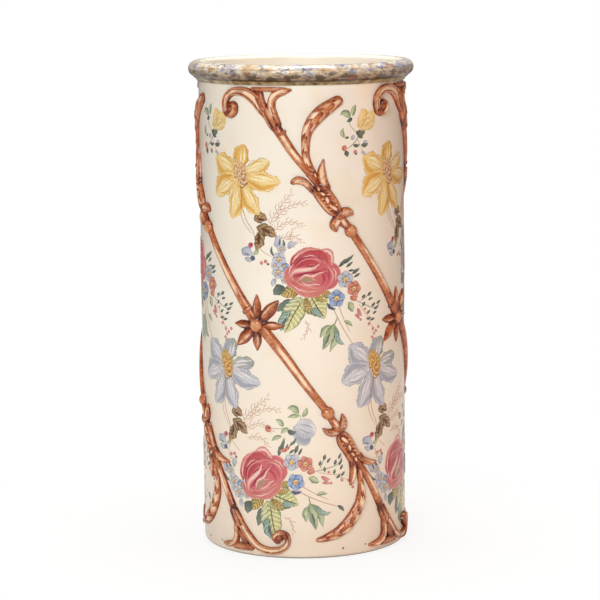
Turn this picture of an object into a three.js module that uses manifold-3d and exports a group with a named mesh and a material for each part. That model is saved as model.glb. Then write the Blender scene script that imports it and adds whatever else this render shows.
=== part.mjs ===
// Glazed earthenware umbrella stand, in millimetres, +Z up, standing on z = 0.
//
// A straight cylinder stands on a rounded foot. A floor slab is set inside it and a rolled rim is
// laid over its mouth. Four branching stems climb slantwise round the wall, a quarter turn apart:
// each is a run of sprigs, pressed in flat moulds and laid on the wall one against the next.
//
// A sprig is drawn flat, as it leaves its mould. u is the distance round the wall from the middle
// of the stem's rosette, growing to the right as seen from outside, and z is the height above the
// table. A station is [u, z, width, relief].
import * as THREE from "three";
import { mergeVertices } from "three/addons/utils/BufferGeometryUtils.js";
import Module from "manifold-3d";

const wasm = await Module();
wasm.setup();

// The pot
const HEIGHT = 570;
const WALL_RADIUS = 120;
const WALL_THICKNESS = 8.5;
const BORE_RADIUS = WALL_RADIUS - WALL_THICKNESS;
const RIM_RADIUS = 132;
const RIM_DEPTH = 23; // from the top of the lip down to the foot of the cove under the roll
const ROLL_RADIUS = 9;
const LIP_ROUND = 4;
const WALL_TOP = HEIGHT - 18; // the rim is seated on the wall here
const FOOT_ROUND = 6;
const FOOT_RING_WIDTH = 17; // from the outside of the wall in to the recess under the floor
const FLOOR_LEDGE = 9; // height of the ledge that carries the floor slab
const FLOOR_THICKNESS = 12;
const FLOOR_CHAMFER = 2;
const COVE = [[1.6, 0], [4.6, 3.6]]; // out from the wall and up from the foot of the cove
const ROUND_SEGMENTS = 60;

// The clay seams, which glaze fills on the fired piece. The flats on the back of a sprig dip
// towards the round wall between its corners, so the corners stand a little further off.
const SEAM = 0.3;
const BED = 0.5;

// The stems stand a quarter turn apart. The first is a little to the left of the front.
const STEM_COUNT = 4;
const FIRST_STEM_ARC = -54.5;
const ROSETTE_Z = 273;
const ROSETTE_BOSS_RADIUS = 9;
const BOSS_RELIEF = 7;
const POD_COUNT = 3;
const POD_WIDTH = 7;
const POD_RELIEF = 5.8;
const POD_WAIST = 0.6; // size between two pods, as a share of the pod
const SCALE_NOTCH = 0.84; // size of the curl between two of its scales, as a share of a scale

// Pairs of petals that point away from each other: angle in degrees, length and width
const PETAL_PAIRS = [
  [[90, 36, 10], [-90, 30, 11]],
  [[48, 40, 13], [-138, 38, 13]],
  [[0, 32, 9], [180, 31, 9]],
];

// Cross-section of a sprig: [across, out], as shares of half the width and of the relief
const HALF_ROUND = [[-1, 0], [-0.74, 0.67], [0, 1], [0.74, 0.67], [1, 0]];
const FLAT_TOPPED = [[-1, 0], [-0.6, 0.9], [0.6, 0.9], [1, 0]];
const RIBBED = [
  [-1, 0], [-0.82, 1], [-0.52, 1], [-0.36, 0.6], [0.36, 0.6], [0.52, 1], [0.82, 1], [1, 0],
  [0, 0], // keeps a wide back off the round wall
];
const RIDGED = [[-1, 0], [0, 1], [1, 0]];
const SUNK = [[-1, 0.3], [0, 1], [1, 0.3]]; // ridged, with its back inside the bed under it

const SLIP_BROWN = { color: 0xa5552f, roughness: 0.25, metalness: 0 };
const CREAM_GLAZE = { color: 0xf1e5d0, roughness: 0.18, metalness: 0 };
const PRINTED_RIM = { color: 0xc9b28c, roughness: 0.2, metalness: 0 };

// A three.js geometry as a solid that can be joined and cut.
function solidOf(geometry) {
  const bare = geometry.clone();
  bare.deleteAttribute("normal");
  bare.deleteAttribute("uv");
  const merged = mergeVertices(bare, 1e-4);
  return new wasm.Manifold(
    new wasm.Mesh({
      numProp: 3,
      vertProperties: merged.attributes.position.array,
      triVerts: new Uint32Array(merged.index.array),
    }),
  );
}

// A solid as a three.js geometry.
function geometryOf(solid) {
  const { vertProperties, triVerts } = solid.getMesh();
  const geometry = new THREE.BufferGeometry();
  geometry.setAttribute("position", new THREE.BufferAttribute(vertProperties, 3));
  geometry.setIndex(new THREE.BufferAttribute(triVerts, 1));
  geometry.computeVertexNormals();
  return geometry;
}

// An outline of [radius, height] points turned round the Z axis. An outline that doesn't start on
// the axis is closed on itself.
function turned(outline) {
  const points = outline.map(([r, z]) => new THREE.Vector2(r, z));
  if (points[0].x > 0) points.push(points[0].clone());
  return new THREE.LatheGeometry(points, ROUND_SEGMENTS).rotateX(Math.PI / 2);
}

// Points of an arc from one angle to another, in degrees, about [radius, height].
function arc([cr, cz], radius, from, to, steps) {
  return Array.from({ length: steps + 1 }, (_, i) => {
    const a = THREE.MathUtils.degToRad(from + ((to - from) * i) / steps);
    return [cr + radius * Math.cos(a), cz + radius * Math.sin(a)];
  });
}

// The wall, with a rounded foot and a ledge inside for the floor.
function wallGeometry() {
  const recess = WALL_RADIUS - FOOT_RING_WIDTH;
  return turned([
    [recess, 0],
    ...arc([WALL_RADIUS - FOOT_ROUND, FOOT_ROUND], FOOT_ROUND, -90, 0, 2),
    [WALL_RADIUS, WALL_TOP],
    [BORE_RADIUS, WALL_TOP],
    [BORE_RADIUS, FLOOR_LEDGE],
    [recess, FLOOR_LEDGE],
  ]);
}

// The floor slab, dropped down the bore on to its ledge.
function floorGeometry() {
  const radius = BORE_RADIUS - SEAM;
  const bottom = FLOOR_LEDGE + SEAM;
  const top = bottom + FLOOR_THICKNESS;
  return turned([
    [0, bottom],
    [radius, bottom],
    [radius, top - FLOOR_CHAMFER],
    [radius - FLOOR_CHAMFER, top],
    [0, top],
  ]);
}

// The rim: a cove, the roll above it and a rounded lip, rebated over the top of the wall.
function rimGeometry() {
  const rollCentre = [RIM_RADIUS - ROLL_RADIUS, HEIGHT - ROLL_RADIUS];
  const lipCentre = [BORE_RADIUS + LIP_ROUND, HEIGHT - LIP_ROUND];
  const seat = WALL_RADIUS + SEAM;
  const coveFoot = HEIGHT - RIM_DEPTH;
  return turned([
    [seat, coveFoot],
    ...COVE.map(([out, up]) => [WALL_RADIUS + out, coveFoot + up]),
    ...arc(rollCentre, ROLL_RADIUS, -62, 90, 6),
    ...arc(lipCentre, LIP_ROUND, 90, 180, 2),
    [BORE_RADIUS, WALL_TOP + SEAM],
    [seat, WALL_TOP + SEAM],
  ]);
}

// Where a point of a flat sprig lies once the sprig is on the wall. Lift is its height off the wall.
function onWall(u, z, lift) {
  const radius = WALL_RADIUS + BED + lift;
  const angle = u / WALL_RADIUS;
  return [radius * Math.sin(angle), -radius * Math.cos(angle), z];
}

// A moulding laid along a curve through its stations. Grow makes the larger solid that cuts a
// neighbour clear of it, whose sides run straight down past the neighbour's back. Notch is the size
// at every other step, for a moulding with scales.
function moulding(stations, steps, section = HALF_ROUND, grow = 0, notch = 1) {
  const places = stations.map(([u, z]) => new THREE.Vector3(u, z, 0));
  const route = new THREE.CatmullRomCurve3(places, false, "centripetal");
  const swells = stations.map(([, , width, relief]) => new THREE.Vector3(width, relief, 0));
  const sizes = new THREE.CatmullRomCurve3(swells);
  const sides = section.filter(([across, out]) => across || out);
  const outline = grow ? [[-1, -1], ...sides, [1, -1]] : section;
  const positions = [];
  for (let i = 0; i <= steps; i++) {
    const at = route.getPoint(i / steps);
    const along = route.getTangent(i / steps);
    const size = sizes.getPoint(i / steps).multiplyScalar(i % 2 ? 1 : notch);
    const shift = grow && (i === 0 || i === steps) ? (i ? grow : -grow) : 0;
    for (const [across, out] of outline) {
      const side = across * (size.x / 2 + grow);
      const lift = out < 0 ? -2 * grow : out * (size.y + grow);
      const u = at.x + along.x * shift - along.y * side;
      const z = at.y + along.y * shift + along.x * side;
      positions.push(...onWall(u, z, lift));
    }
  }
  const n = outline.length;
  const faces = [];
  for (let i = 0; i < steps; i++) {
    for (let k = 0; k < n; k++) {
      const a = i * n + k;
      const b = i * n + ((k + 1) % n);
      faces.push(a, b, a + n, b, b + n, a + n);
    }
  }
  const last = steps * n;
  for (let k = 0; k < n - 2; k++) {
    faces.push(n - 1, k + 1, k);
    faces.push(last + n - 1, last + k, last + k + 1);
  }
  return closed(positions, faces);
}

// A round boss, domed, at a place on the flat sprig.
function boss([u, z, radius], relief, sides, grow = 0) {
  const back = -2 * grow;
  const rings = [[1, back], [1, 0.3 * relief], [0.72, 0.82 * relief]];
  const positions = [];
  for (const [share, lift] of rings) {
    for (let k = 0; k < sides; k++) {
      const a = (2 * Math.PI * k) / sides;
      const reach = radius * share + grow;
      const rise = lift > 0 ? lift + grow : lift;
      positions.push(...onWall(u + reach * Math.cos(a), z + reach * Math.sin(a), rise));
    }
  }
  positions.push(...onWall(u, z, relief + grow), ...onWall(u, z, back));
  const crown = rings.length * sides;
  const faces = [];
  for (let k = 0; k < sides; k++) {
    const next = (k + 1) % sides;
    for (let i = 0; i < rings.length - 1; i++) {
      const a = i * sides + k;
      const b = i * sides + next;
      faces.push(a, b, a + sides, b, b + sides, a + sides);
    }
    const top = (rings.length - 1) * sides;
    faces.push(top + k, top + next, crown, next, k, crown + 1);
  }
  return closed(positions, faces);
}

// A solid from flat lists of coordinates and corners, turned right side out.
function closed(positions, faces) {
  const geometry = new THREE.BufferGeometry();
  geometry.setAttribute("position", new THREE.BufferAttribute(new Float32Array(positions), 3));
  geometry.setIndex(faces);
  const solid = solidOf(geometry);
  if (solid.volume() > 0) return solid;
  for (let i = 0; i < faces.length; i += 3) [faces[i + 1], faces[i + 2]] = [faces[i + 2], faces[i + 1]];
  geometry.setIndex(faces);
  return solidOf(geometry);
}

const joined = (solids) => solids.reduce((a, b) => a.add(b));

// Where a petal lies at a distance from the middle of the rosette, at an angle in degrees.
function petalPoint(angle, distance) {
  const a = THREE.MathUtils.degToRad(angle);
  return [distance * Math.cos(a), ROSETTE_Z + distance * Math.sin(a)];
}

// Two petals that point away from each other, as one moulding through the middle of the rosette.
function petalPair([one, other], grow) {
  const half = ([angle, length, width]) => [
    [...petalPoint(angle, length), 1, 1.2],
    [...petalPoint(angle, length * 0.64), width, 3.6],
    [...petalPoint(angle, length * 0.34), width * 0.8, 4],
  ];
  const stations = [...half(one), [0, ROSETTE_Z, 6, 4], ...half(other).reverse()];
  return moulding(stations, stations.length - 1, RIDGED, grow);
}

// The rosette: a boss with six pointed petals. The two rods take the places of the other two.
function rosette(grow = 0) {
  const petals = PETAL_PAIRS.map((pair) => petalPair(pair, grow));
  return joined([boss([0, ROSETTE_Z, ROSETTE_BOSS_RADIUS], BOSS_RELIEF, 10, grow), ...petals]);
}

// A row of pods down the bed of a husk, as one moulding that swells at each pod.
function pods([u0, z0], [u1, z1], grow) {
  const stations = [[u0, z0, POD_WIDTH, POD_RELIEF], [u1, z1, POD_WIDTH, POD_RELIEF]];
  return moulding(stations, 2 * POD_COUNT, SUNK, grow, POD_WAIST);
}

// Upper half of a stem, from its rod up to the scroll under the rim
const UPPER = {
  rod: [[-80, 385, 9.5, 4], [-38, 327, 10.5, 4.2], [-2, 277, 13, 4.8]],
  beadAt: [-77, 380.5, 8.3],
  neck: [[-78, 383, 9, 5], [-86, 391, 11, 5], [-93, 400, 8, 4.5]],
  calyx: [
    [-95.5, 382, 6, 3], [-96.5, 389, 9, 4.4], [-93, 398, 7.5, 4.4], [-84, 401.5, 7.5, 4.2],
    [-74, 399, 1.5, 1.5],
  ],
  bed: [
    [-92, 399, 12, 4.6], [-98.5, 408, 19, 5], [-105, 417, 21, 5], [-112.5, 426.5, 19.5, 5],
    [-119, 434.5, 16, 4.6],
  ],
  leafLeft: [[-119, 425, 7, 5], [-130, 437, 9, 4.6], [-139, 440, 9.5, 4.2], [-147, 436.5, 5, 2.5]],
  leafRight: [[-104, 428, 7, 5], [-110.5, 440, 8.5, 4.6], [-112, 451, 8, 4.2], [-109, 463.5, 1.5, 1.5]],
  podsFrom: [-95, 403],
  podsTo: [-119, 435],
  curl: [
    [-120, 449, 6, 3.5], [-126, 458, 8.5, 4.5], [-129, 467, 9.5, 4.5], [-129.5, 476, 10, 4.5],
    [-129, 487, 11, 5], [-126.5, 497, 13, 5.5], [-120.5, 507, 16, 6], [-111, 516.5, 17, 6],
    [-101.5, 523, 14.5, 5.5], [-93, 528, 11, 4.5], [-87, 531, 7, 3.5],
  ],
  branch: [
    [-165, 503, 12, 4.4], [-157.5, 492, 11.5, 4.6], [-143, 470, 10.5, 4.4], [-127, 450, 9.5, 4.2],
    [-118.5, 438, 8, 4],
  ],
  sheath: [[-163, 500, 14, 5], [-166.5, 508, 16, 5.2], [-170.5, 515, 17, 5.2], [-174, 522, 17, 4.8]],
  scrollArm: [
    [-170, 510, 9, 5], [-178.5, 520, 13, 5], [-186, 530, 15, 5.2], [-197, 537.5, 13, 5],
    [-208, 540, 10.5, 5], [-218.5, 538.5, 10, 5], [-226.5, 532, 9.5, 5], [-228.8, 523, 8.5, 4.8],
    [-226, 515, 8.5, 4.8], [-219, 513, 10, 5.5], [-216.5, 520, 12.5, 6.3], [-218.5, 526, 6, 4],
  ],
  sideArm: [
    [-163, 503, 9, 4.6], [-165, 513, 10, 4.8], [-168, 522, 9, 4.8], [-168, 531, 8, 4.8],
    [-162.5, 538, 7.5, 4.6], [-153, 541.5, 6.5, 4.2], [-144, 542, 2, 1.5],
  ],
  bar: [[-193, 542.8, 4.5, 3.2], [-172, 542.6, 5.5, 3.6], [-151, 542.4, 5.5, 3.2]],
};

// Lower half of a stem, from its rod down to the scroll on the foot
const LOWER = {
  rod: [[5, 272, 13, 5], [31, 240.5, 12.5, 4.8], [56, 206, 10.5, 4.2], [85, 168, 9, 4]],
  beadAt: [82, 171.5, 7.8],
  neck: [[83, 169, 8, 4.5], [90, 159, 10, 5], [96, 149, 8, 4.5]],
  calyx: [
    [99.5, 168, 5, 3], [100, 159, 9.5, 4.4], [95, 150.5, 7.5, 4.4], [86, 150, 8.5, 4.4],
    [77, 152.5, 3, 2],
  ],
  bed: [
    [95.5, 148, 12, 4.6], [101.5, 138.5, 19, 5], [108.5, 127, 18.5, 5], [115, 116, 17.5, 5],
    [119, 108.5, 13, 4.6],
  ],
  leafLeft: [[110, 115, 7, 5], [112.3, 104, 8.5, 4.6], [111.5, 94, 8, 4.2], [109, 84, 2.5, 1.5]],
  leafRight: [[119, 122, 7, 5], [125, 114.5, 8, 4.8], [134, 109.5, 8, 4.4], [147, 108, 3, 2]],
  podsFrom: [98, 145],
  podsTo: [117.5, 110],
  curl: [
    [120.5, 104, 7, 3.5], [121.5, 95, 7.5, 4.5], [122.8, 86, 8, 4.5], [123.5, 75, 11.5, 5],
    [121, 62.5, 13.5, 5.5], [114, 50, 15, 5.8], [104.5, 38.5, 15.5, 5.8], [92.5, 30, 13, 5.5],
    [79.5, 25, 9.5, 4.5], [67, 22, 4.5, 3],
  ],
  branch: [
    [123, 105.5, 8.5, 4], [131, 94, 9, 4.2], [139, 80, 9, 4.4], [146, 67, 9.5, 4.4], [153, 54, 10.5, 4.4],
  ],
  sheath: [[151, 57, 10.5, 4.6], [156, 47.5, 13, 5], [160.5, 40, 14, 5], [163, 33, 13, 4.6]],
  scrollArm: [
    [157, 50, 8, 4.8], [163, 40.5, 8.5, 4.8], [170, 31, 9, 4.8], [177.5, 22, 9.5, 4.8],
    [186, 14, 9, 4.8], [196, 10.2, 8.5, 4.8], [206, 9.6, 8.5, 4.8], [216, 12, 8.5, 4.8],
    [222.5, 19.5, 8, 4.8], [221.5, 28, 8, 4.8], [214.5, 30.5, 9.5, 5.5], [211.5, 25, 12, 6.3],
    [213, 19.5, 6, 4],
  ],
  sideArm: [
    [158, 44, 7, 4.6], [157.5, 34, 7.5, 4.6], [158, 25, 8, 4.6], [155.5, 16.5, 8.5, 4.6],
    [149, 12, 8, 4.4], [141, 10.5, 6.5, 3.8], [133, 10.3, 2, 1.5],
  ],
  bar: [[158, 11, 8.5, 3.8], [168, 11.5, 9, 4], [179, 11.5, 8, 3.8]],
};

// The husk: a neck, a pair of calyx leaves across it, and a bed of pods between two ribs that end as
// leaves.
function husk(half, grow = 0) {
  return joined([
    moulding(half.neck, 2, FLAT_TOPPED, grow),
    moulding(half.calyx, 4, RIDGED, grow),
    moulding(half.bed, 4, RIBBED, grow),
    moulding(half.leafLeft, 3, FLAT_TOPPED, grow),
    moulding(half.leafRight, 3, FLAT_TOPPED, grow),
    pods(half.podsFrom, half.podsTo, grow),
  ]);
}

// The scroll at an end of the stem: a sheath that forks into a side arm and an arm that curls in and
// swells to a bulb, with a bar across the fork.
function scroll(half, grow = 0) {
  return joined([
    moulding(half.sheath, 3, FLAT_TOPPED, grow),
    moulding(half.scrollArm, 14, FLAT_TOPPED, grow),
    moulding(half.sideArm, 6, FLAT_TOPPED, grow),
    moulding(half.bar, 3, FLAT_TOPPED, grow),
  ]);
}

const bead = (half, grow = 0) => boss(half.beadAt, BOSS_RELIEF, 10, grow);

const curl = (half, grow = 0) => moulding(half.curl, 12, HALF_ROUND, grow, SCALE_NOTCH);

// The sprigs of half a stem. The rod gives way to the rosette and the bead, the husk to the bead,
// the curl to the husk, and the branch to all that it touches.
function halfStem(half, middle) {
  const aroundBead = bead(half, SEAM);
  const aroundHusk = husk(half, SEAM);
  return {
    rod: moulding(half.rod, 6).subtract(aroundBead).subtract(middle),
    bead: bead(half),
    husk: husk(half).subtract(aroundBead),
    curl: curl(half).subtract(aroundHusk),
    branch: moulding(half.branch, 6)
      .subtract(aroundHusk)
      .subtract(curl(half, SEAM))
      .subtract(scroll(half, SEAM)),
    scroll: scroll(half),
  };
}

// The largest body of a solid, without the slivers that a cut can leave beside it.
function mainBody(solid) {
  return solid.decompose().sort((a, b) => b.volume() - a.volume())[0];
}

function named(name, geometry, look) {
  const mesh = new THREE.Mesh(geometry, new THREE.MeshStandardMaterial(look));
  mesh.name = name;
  return mesh;
}

const stand = new THREE.Group();
stand.add(named("wall", wallGeometry(), CREAM_GLAZE));
stand.add(named("floor_slab", floorGeometry(), CREAM_GLAZE));
stand.add(named("rolled_rim", rimGeometry(), PRINTED_RIM));

const middle = rosette(SEAM);
const sprigs = { rosette: rosette() };
for (const [side, half] of [["upper", UPPER], ["lower", LOWER]]) {
  for (const [name, solid] of Object.entries(halfStem(half, middle))) sprigs[`${side}_${name}`] = solid;
}

for (let i = 0; i < STEM_COUNT; i++) {
  const stem = new THREE.Group();
  stem.rotation.z = FIRST_STEM_ARC / WALL_RADIUS + (2 * Math.PI * i) / STEM_COUNT;
  for (const [name, solid] of Object.entries(sprigs)) {
    stem.add(named(`stem${i + 1}_${name}`, geometryOf(mainBody(solid)), SLIP_BROWN));
  }
  stand.add(stem);
}

export default stand;
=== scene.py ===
"""A tall glazed earthenware umbrella stand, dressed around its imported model.

The pot is drawn as half sections and spun. The slanting stems are pressed flat, sprig by sprig, and
laid round the wall. The flowers are painted strokes: thin plates of enamel on the glaze. Lengths in
the drawings are millimetres. On a flat drawing the first number is the distance round the wall from
the middle of the front, growing to the right, and the second is the height above the table.
"""
import logging
import math
from collections.abc import Iterator
from contextlib import contextmanager
from dataclasses import dataclass, field, replace
from enum import Enum

import bpy
import numpy as np
from mathutils import Matrix, Vector


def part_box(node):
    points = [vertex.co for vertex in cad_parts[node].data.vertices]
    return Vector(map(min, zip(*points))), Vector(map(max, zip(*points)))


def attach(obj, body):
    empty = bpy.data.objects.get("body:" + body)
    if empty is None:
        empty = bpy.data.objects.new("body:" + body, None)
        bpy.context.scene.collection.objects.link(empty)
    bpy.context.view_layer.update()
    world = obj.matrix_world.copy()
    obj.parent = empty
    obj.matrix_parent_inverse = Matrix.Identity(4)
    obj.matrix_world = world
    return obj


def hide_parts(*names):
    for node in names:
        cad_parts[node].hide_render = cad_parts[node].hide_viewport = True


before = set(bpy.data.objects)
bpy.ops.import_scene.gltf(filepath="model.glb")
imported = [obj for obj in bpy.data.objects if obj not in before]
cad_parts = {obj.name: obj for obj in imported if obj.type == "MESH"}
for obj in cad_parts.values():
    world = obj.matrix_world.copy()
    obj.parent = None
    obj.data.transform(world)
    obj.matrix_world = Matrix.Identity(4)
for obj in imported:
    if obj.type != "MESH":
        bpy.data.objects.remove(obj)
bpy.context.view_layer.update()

log = logging.getLogger("umbrella_stand")

MM = 0.001
Pair = tuple[float, float]
Station = tuple[float, float, float, float]
Colour = tuple[float, float, float, float]

WALL_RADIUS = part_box("wall")[1].x / MM
WALL_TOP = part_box("wall")[1].z / MM
RIM_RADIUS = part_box("rolled_rim")[1].x / MM
RIM_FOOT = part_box("rolled_rim")[0].z / MM
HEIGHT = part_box("rolled_rim")[1].z / MM
FLOOR_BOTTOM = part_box("floor_slab")[0].z / MM
FLOOR_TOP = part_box("floor_slab")[1].z / MM
FLOOR_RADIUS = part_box("floor_slab")[1].x / MM

STEM_COUNT = 4
FIRST_STEM_AROUND = -54.5  # from the middle of the front to the rosette of the first stem
# On a sprig the brush holds glow, partly slip wiped thin and partly painted highlight, and shade, where the
# slip lies thick
BRUSH = "brush"  # attribute: along and across a stroke, and its tint; or glow and shade on a sprig
# The slip turns the crest share into painted shade in the hollows and painted highlight on the crests
CREST = "crest"  # attribute: 0 in a hollow of a sprig, 1 on a crest


# Small tools


def linear(hex_colour: str) -> Colour:
    """Turns an sRGB hex colour to linear light.

    Args:
        hex_colour: six hex digits after a hash sign.

    Returns:
        Red, green, blue and an alpha of 1.
    """
    shares = [int(hex_colour[i:i + 2], 16) / 255 for i in (1, 3, 5)]
    light = [s / 12.92 if s <= 0.04045 else ((s + 0.055) / 1.055) ** 2.4 for s in shares]
    return (*light, 1.0)


def deselect_all() -> None:
    """Leaves nothing selected."""
    bpy.ops.object.select_all(action="DESELECT")


def select_only(*pieces: bpy.types.Object) -> None:
    """Selects some objects alone.

    Args:
        *pieces: the objects. The first one becomes the active one.
    """
    deselect_all()
    for piece in pieces:
        piece.select_set(True)
    bpy.context.view_layer.objects.active = pieces[0]


@contextmanager
def editing(piece: bpy.types.Object) -> Iterator[None]:
    """Opens a piece in edit mode with all of it selected, and closes it again."""
    select_only(piece)
    bpy.ops.object.mode_set(mode="EDIT")
    bpy.ops.mesh.select_all(action="SELECT")
    yield
    bpy.ops.object.mode_set(mode="OBJECT")


def join(pieces: list[bpy.types.Object], name: str) -> bpy.types.Object:
    """Joins objects into the first one and names it.

    Args:
        pieces: mesh objects, at least one.
        name: name of the joined object.

    Returns:
        The joined object.
    """
    select_only(*pieces)
    if len(pieces) > 1:
        bpy.ops.object.join()
    pieces[0].name = name
    pieces[0].data.name = name
    return pieces[0]


def points_of(piece: bpy.types.Object) -> np.ndarray:
    """Reads the vertices of a mesh object as rows of x, y, z."""
    flat = np.empty(len(piece.data.vertices) * 3)
    piece.data.vertices.foreach_get("co", flat)
    return flat.reshape(-1, 3)


def move_points(piece: bpy.types.Object, points: np.ndarray) -> None:
    """Writes the vertices of a mesh object from rows of x, y, z."""
    piece.data.vertices.foreach_set("co", points.ravel())
    piece.data.update()


def set_attribute(piece: bpy.types.Object, name: str, values: np.ndarray) -> None:
    """Stores one number, or three, at each vertex.

    Args:
        piece: mesh object.
        name: name that the materials read.
        values: one row for each vertex.
    """
    wide = values.ndim == 2
    kind = "FLOAT_VECTOR" if wide else "FLOAT"
    attribute = piece.data.attributes.get(name) or piece.data.attributes.new(name, kind, "POINT")
    attribute.data.foreach_set("vector" if wide else "value", values.astype(np.float32).ravel())


def apply_modifier(piece: bpy.types.Object, kind: str, **settings: object) -> None:
    """Adds a modifier, sets it and applies it.

    Args:
        piece: mesh object.
        kind: Blender's name of the modifier.
        **settings: values of its fields.
    """
    select_only(piece)
    modifier = piece.modifiers.new(kind.lower(), kind)
    for key, value in settings.items():
        setattr(modifier, key, value)
    bpy.ops.object.modifier_apply(modifier=modifier.name)


def smooth_rows(rows: list[tuple[float, ...]], count: int) -> np.ndarray:
    """Spreads points evenly along a smooth curve through the given rows.

    Args:
        rows: two or more rows, each a place on the flat and any sizes that go with it.
        count: how many points to make.

    Returns:
        An array of count rows.
    """
    given = np.asarray(rows, dtype=float)
    padded = np.vstack([2 * given[0] - given[1], given, 2 * given[-1] - given[-2]])
    share = np.linspace(0, 1, 12, endpoint=False)[:, None]
    parts = []
    for before, start, end, after in zip(padded, padded[1:], padded[2:], padded[3:]):
        bend = 2 * before - 5 * start + 4 * end - after
        swing = 3 * start - before - 3 * end + after
        parts.append(0.5 * (2 * start + (end - before) * share + bend * share**2 + swing * share**3))
    fine = np.vstack([*parts, given[-1:]])
    run = np.concatenate([[0], np.cumsum(np.hypot(*np.diff(fine[:, :2], axis=0).T))])
    steps = np.linspace(0, run[-1], count)
    return np.column_stack([np.interp(steps, run, column) for column in fine.T])


def place_from(at: Pair, reach: float, heading: float) -> Pair:
    """Gives the place at a distance from another, on a heading in radians."""
    return (at[0] + reach * math.cos(heading), at[1] + reach * math.sin(heading))


def length_of(rows: list[tuple[float, ...]]) -> float:
    """Measures a run of points on the flat, corner to corner."""
    return float(np.hypot(*np.diff(np.asarray(rows, dtype=float)[:, :2], axis=0).T).sum())


def spread_across(line: np.ndarray, half: np.ndarray, across: np.ndarray) -> np.ndarray:
    """Sets points beside a centre line.

    Args:
        line: places on the centre line.
        half: half the width at each place, a number or one for each point across.
        across: shares of the half width, -1 on the left to 1 on the right.

    Returns:
        A row of places for each place on the line.
    """
    ahead = np.gradient(line, axis=0)
    ahead /= np.linalg.norm(ahead, axis=1, keepdims=True)
    right = np.column_stack([ahead[:, 1], -ahead[:, 0]])
    reach = half * across[None, :]
    return line[:, None, :] + reach[:, :, None] * right[:, None, :]


def grid_piece(places: np.ndarray, lift: np.ndarray, brush: np.ndarray) -> bpy.types.Object:
    """Lays a grid primitive over a table of places on the flat.

    Args:
        places: rows along, points across, two millimetre coordinates each.
        lift: height of each point over the wall, in millimetres.
        brush: three numbers for each point, kept in the brush attribute.

    Returns:
        An open sheet on the bench.
    """
    rows, columns = lift.shape
    bpy.ops.mesh.primitive_grid_add(x_subdivisions=columns - 1, y_subdivisions=rows - 1, size=MM)
    piece = bpy.context.object
    move_points(piece, np.dstack([places, lift]).reshape(-1, 3) * MM)
    set_attribute(piece, BRUSH, brush.reshape(-1, 3))
    return piece


def thicken_down(piece: bpy.types.Object, base: float) -> None:
    """Extrudes an open sheet down to a flat back.

    Args:
        piece: open sheet on the bench.
        base: height of the flat back, in millimetres.
    """
    with editing(piece):
        bpy.ops.mesh.extrude_region_move(TRANSFORM_OT_translate={"value": (0, 0, base * MM)})
        bpy.ops.transform.resize(value=(1, 1, 0), center_override=(0, 0, base * MM))
        bpy.ops.mesh.select_all(action="SELECT")
        bpy.ops.mesh.normals_make_consistent(inside=False)


def wrap_on_wall(piece: bpy.types.Object) -> None:
    """Bends a flat piece from the bench round the wall.

    Args:
        piece: mesh object, which stands at its height already.
    """
    around, up, lift = points_of(piece).T
    radius = WALL_RADIUS * MM + lift
    angle = around / (WALL_RADIUS * MM)
    move_points(piece, np.column_stack([radius * np.sin(angle), -radius * np.cos(angle), up]))


def copy_round(piece: bpy.types.Object, names: list[str]) -> list[bpy.types.Object]:
    """Copies a piece round the pot at even steps, each copy with a mesh of its own.

    Args:
        piece: the first piece, already on the wall. It takes the first name.
        names: a name for each place.

    Returns:
        The pieces in order.
    """
    pieces = [piece]
    for i, name in enumerate(names[1:], start=1):
        copy = bpy.data.objects.new(name, piece.data.copy())
        copy.data.name = name
        copy.data.transform(Matrix.Rotation(2 * math.pi * i / len(names), 4, "Z"))
        bpy.context.collection.objects.link(copy)
        pieces.append(copy)
    piece.name = names[0]
    return pieces


def add_node(tree: bpy.types.NodeTree, kind: str, settings: dict, sockets: dict) -> bpy.types.Node:
    """Adds a node with its settings, its constants and its links.

    Args:
        tree: node tree of a material or the world.
        kind: Blender's name of the node.
        settings: fields of the node.
        sockets: for each input, a constant or the output that feeds it.

    Returns:
        The new node.
    """
    node = tree.nodes.new(kind)
    for key, value in settings.items():
        setattr(node, key, value)
    for key, value in sockets.items():
        if isinstance(value, bpy.types.NodeSocket):
            tree.links.new(value, node.inputs[key])
        else:
            node.inputs[key].default_value = value
    return node


def set_stops(ramp: bpy.types.Node, stops: list[tuple[float, str]]) -> None:
    """Gives a colour ramp its stops.

    Args:
        ramp: a colour ramp node.
        stops: places from 0 to 1, each with a hex colour.
    """
    band = ramp.color_ramp
    while len(band.elements) < len(stops):
        band.elements.new(1.0)
    for element, (place, colour) in zip(band.elements, stops):
        element.position = place
        element.color = linear(colour)


# Finishes

MIX_FACTOR, MIX_A, MIX_B, MIX_RESULT = 0, 6, 7, 2  # sockets of a colour mix


def per(size: float) -> float:
    """Gives the texture scale whose features are about this many millimetres wide."""
    return 1 / (size * MM)


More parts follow.
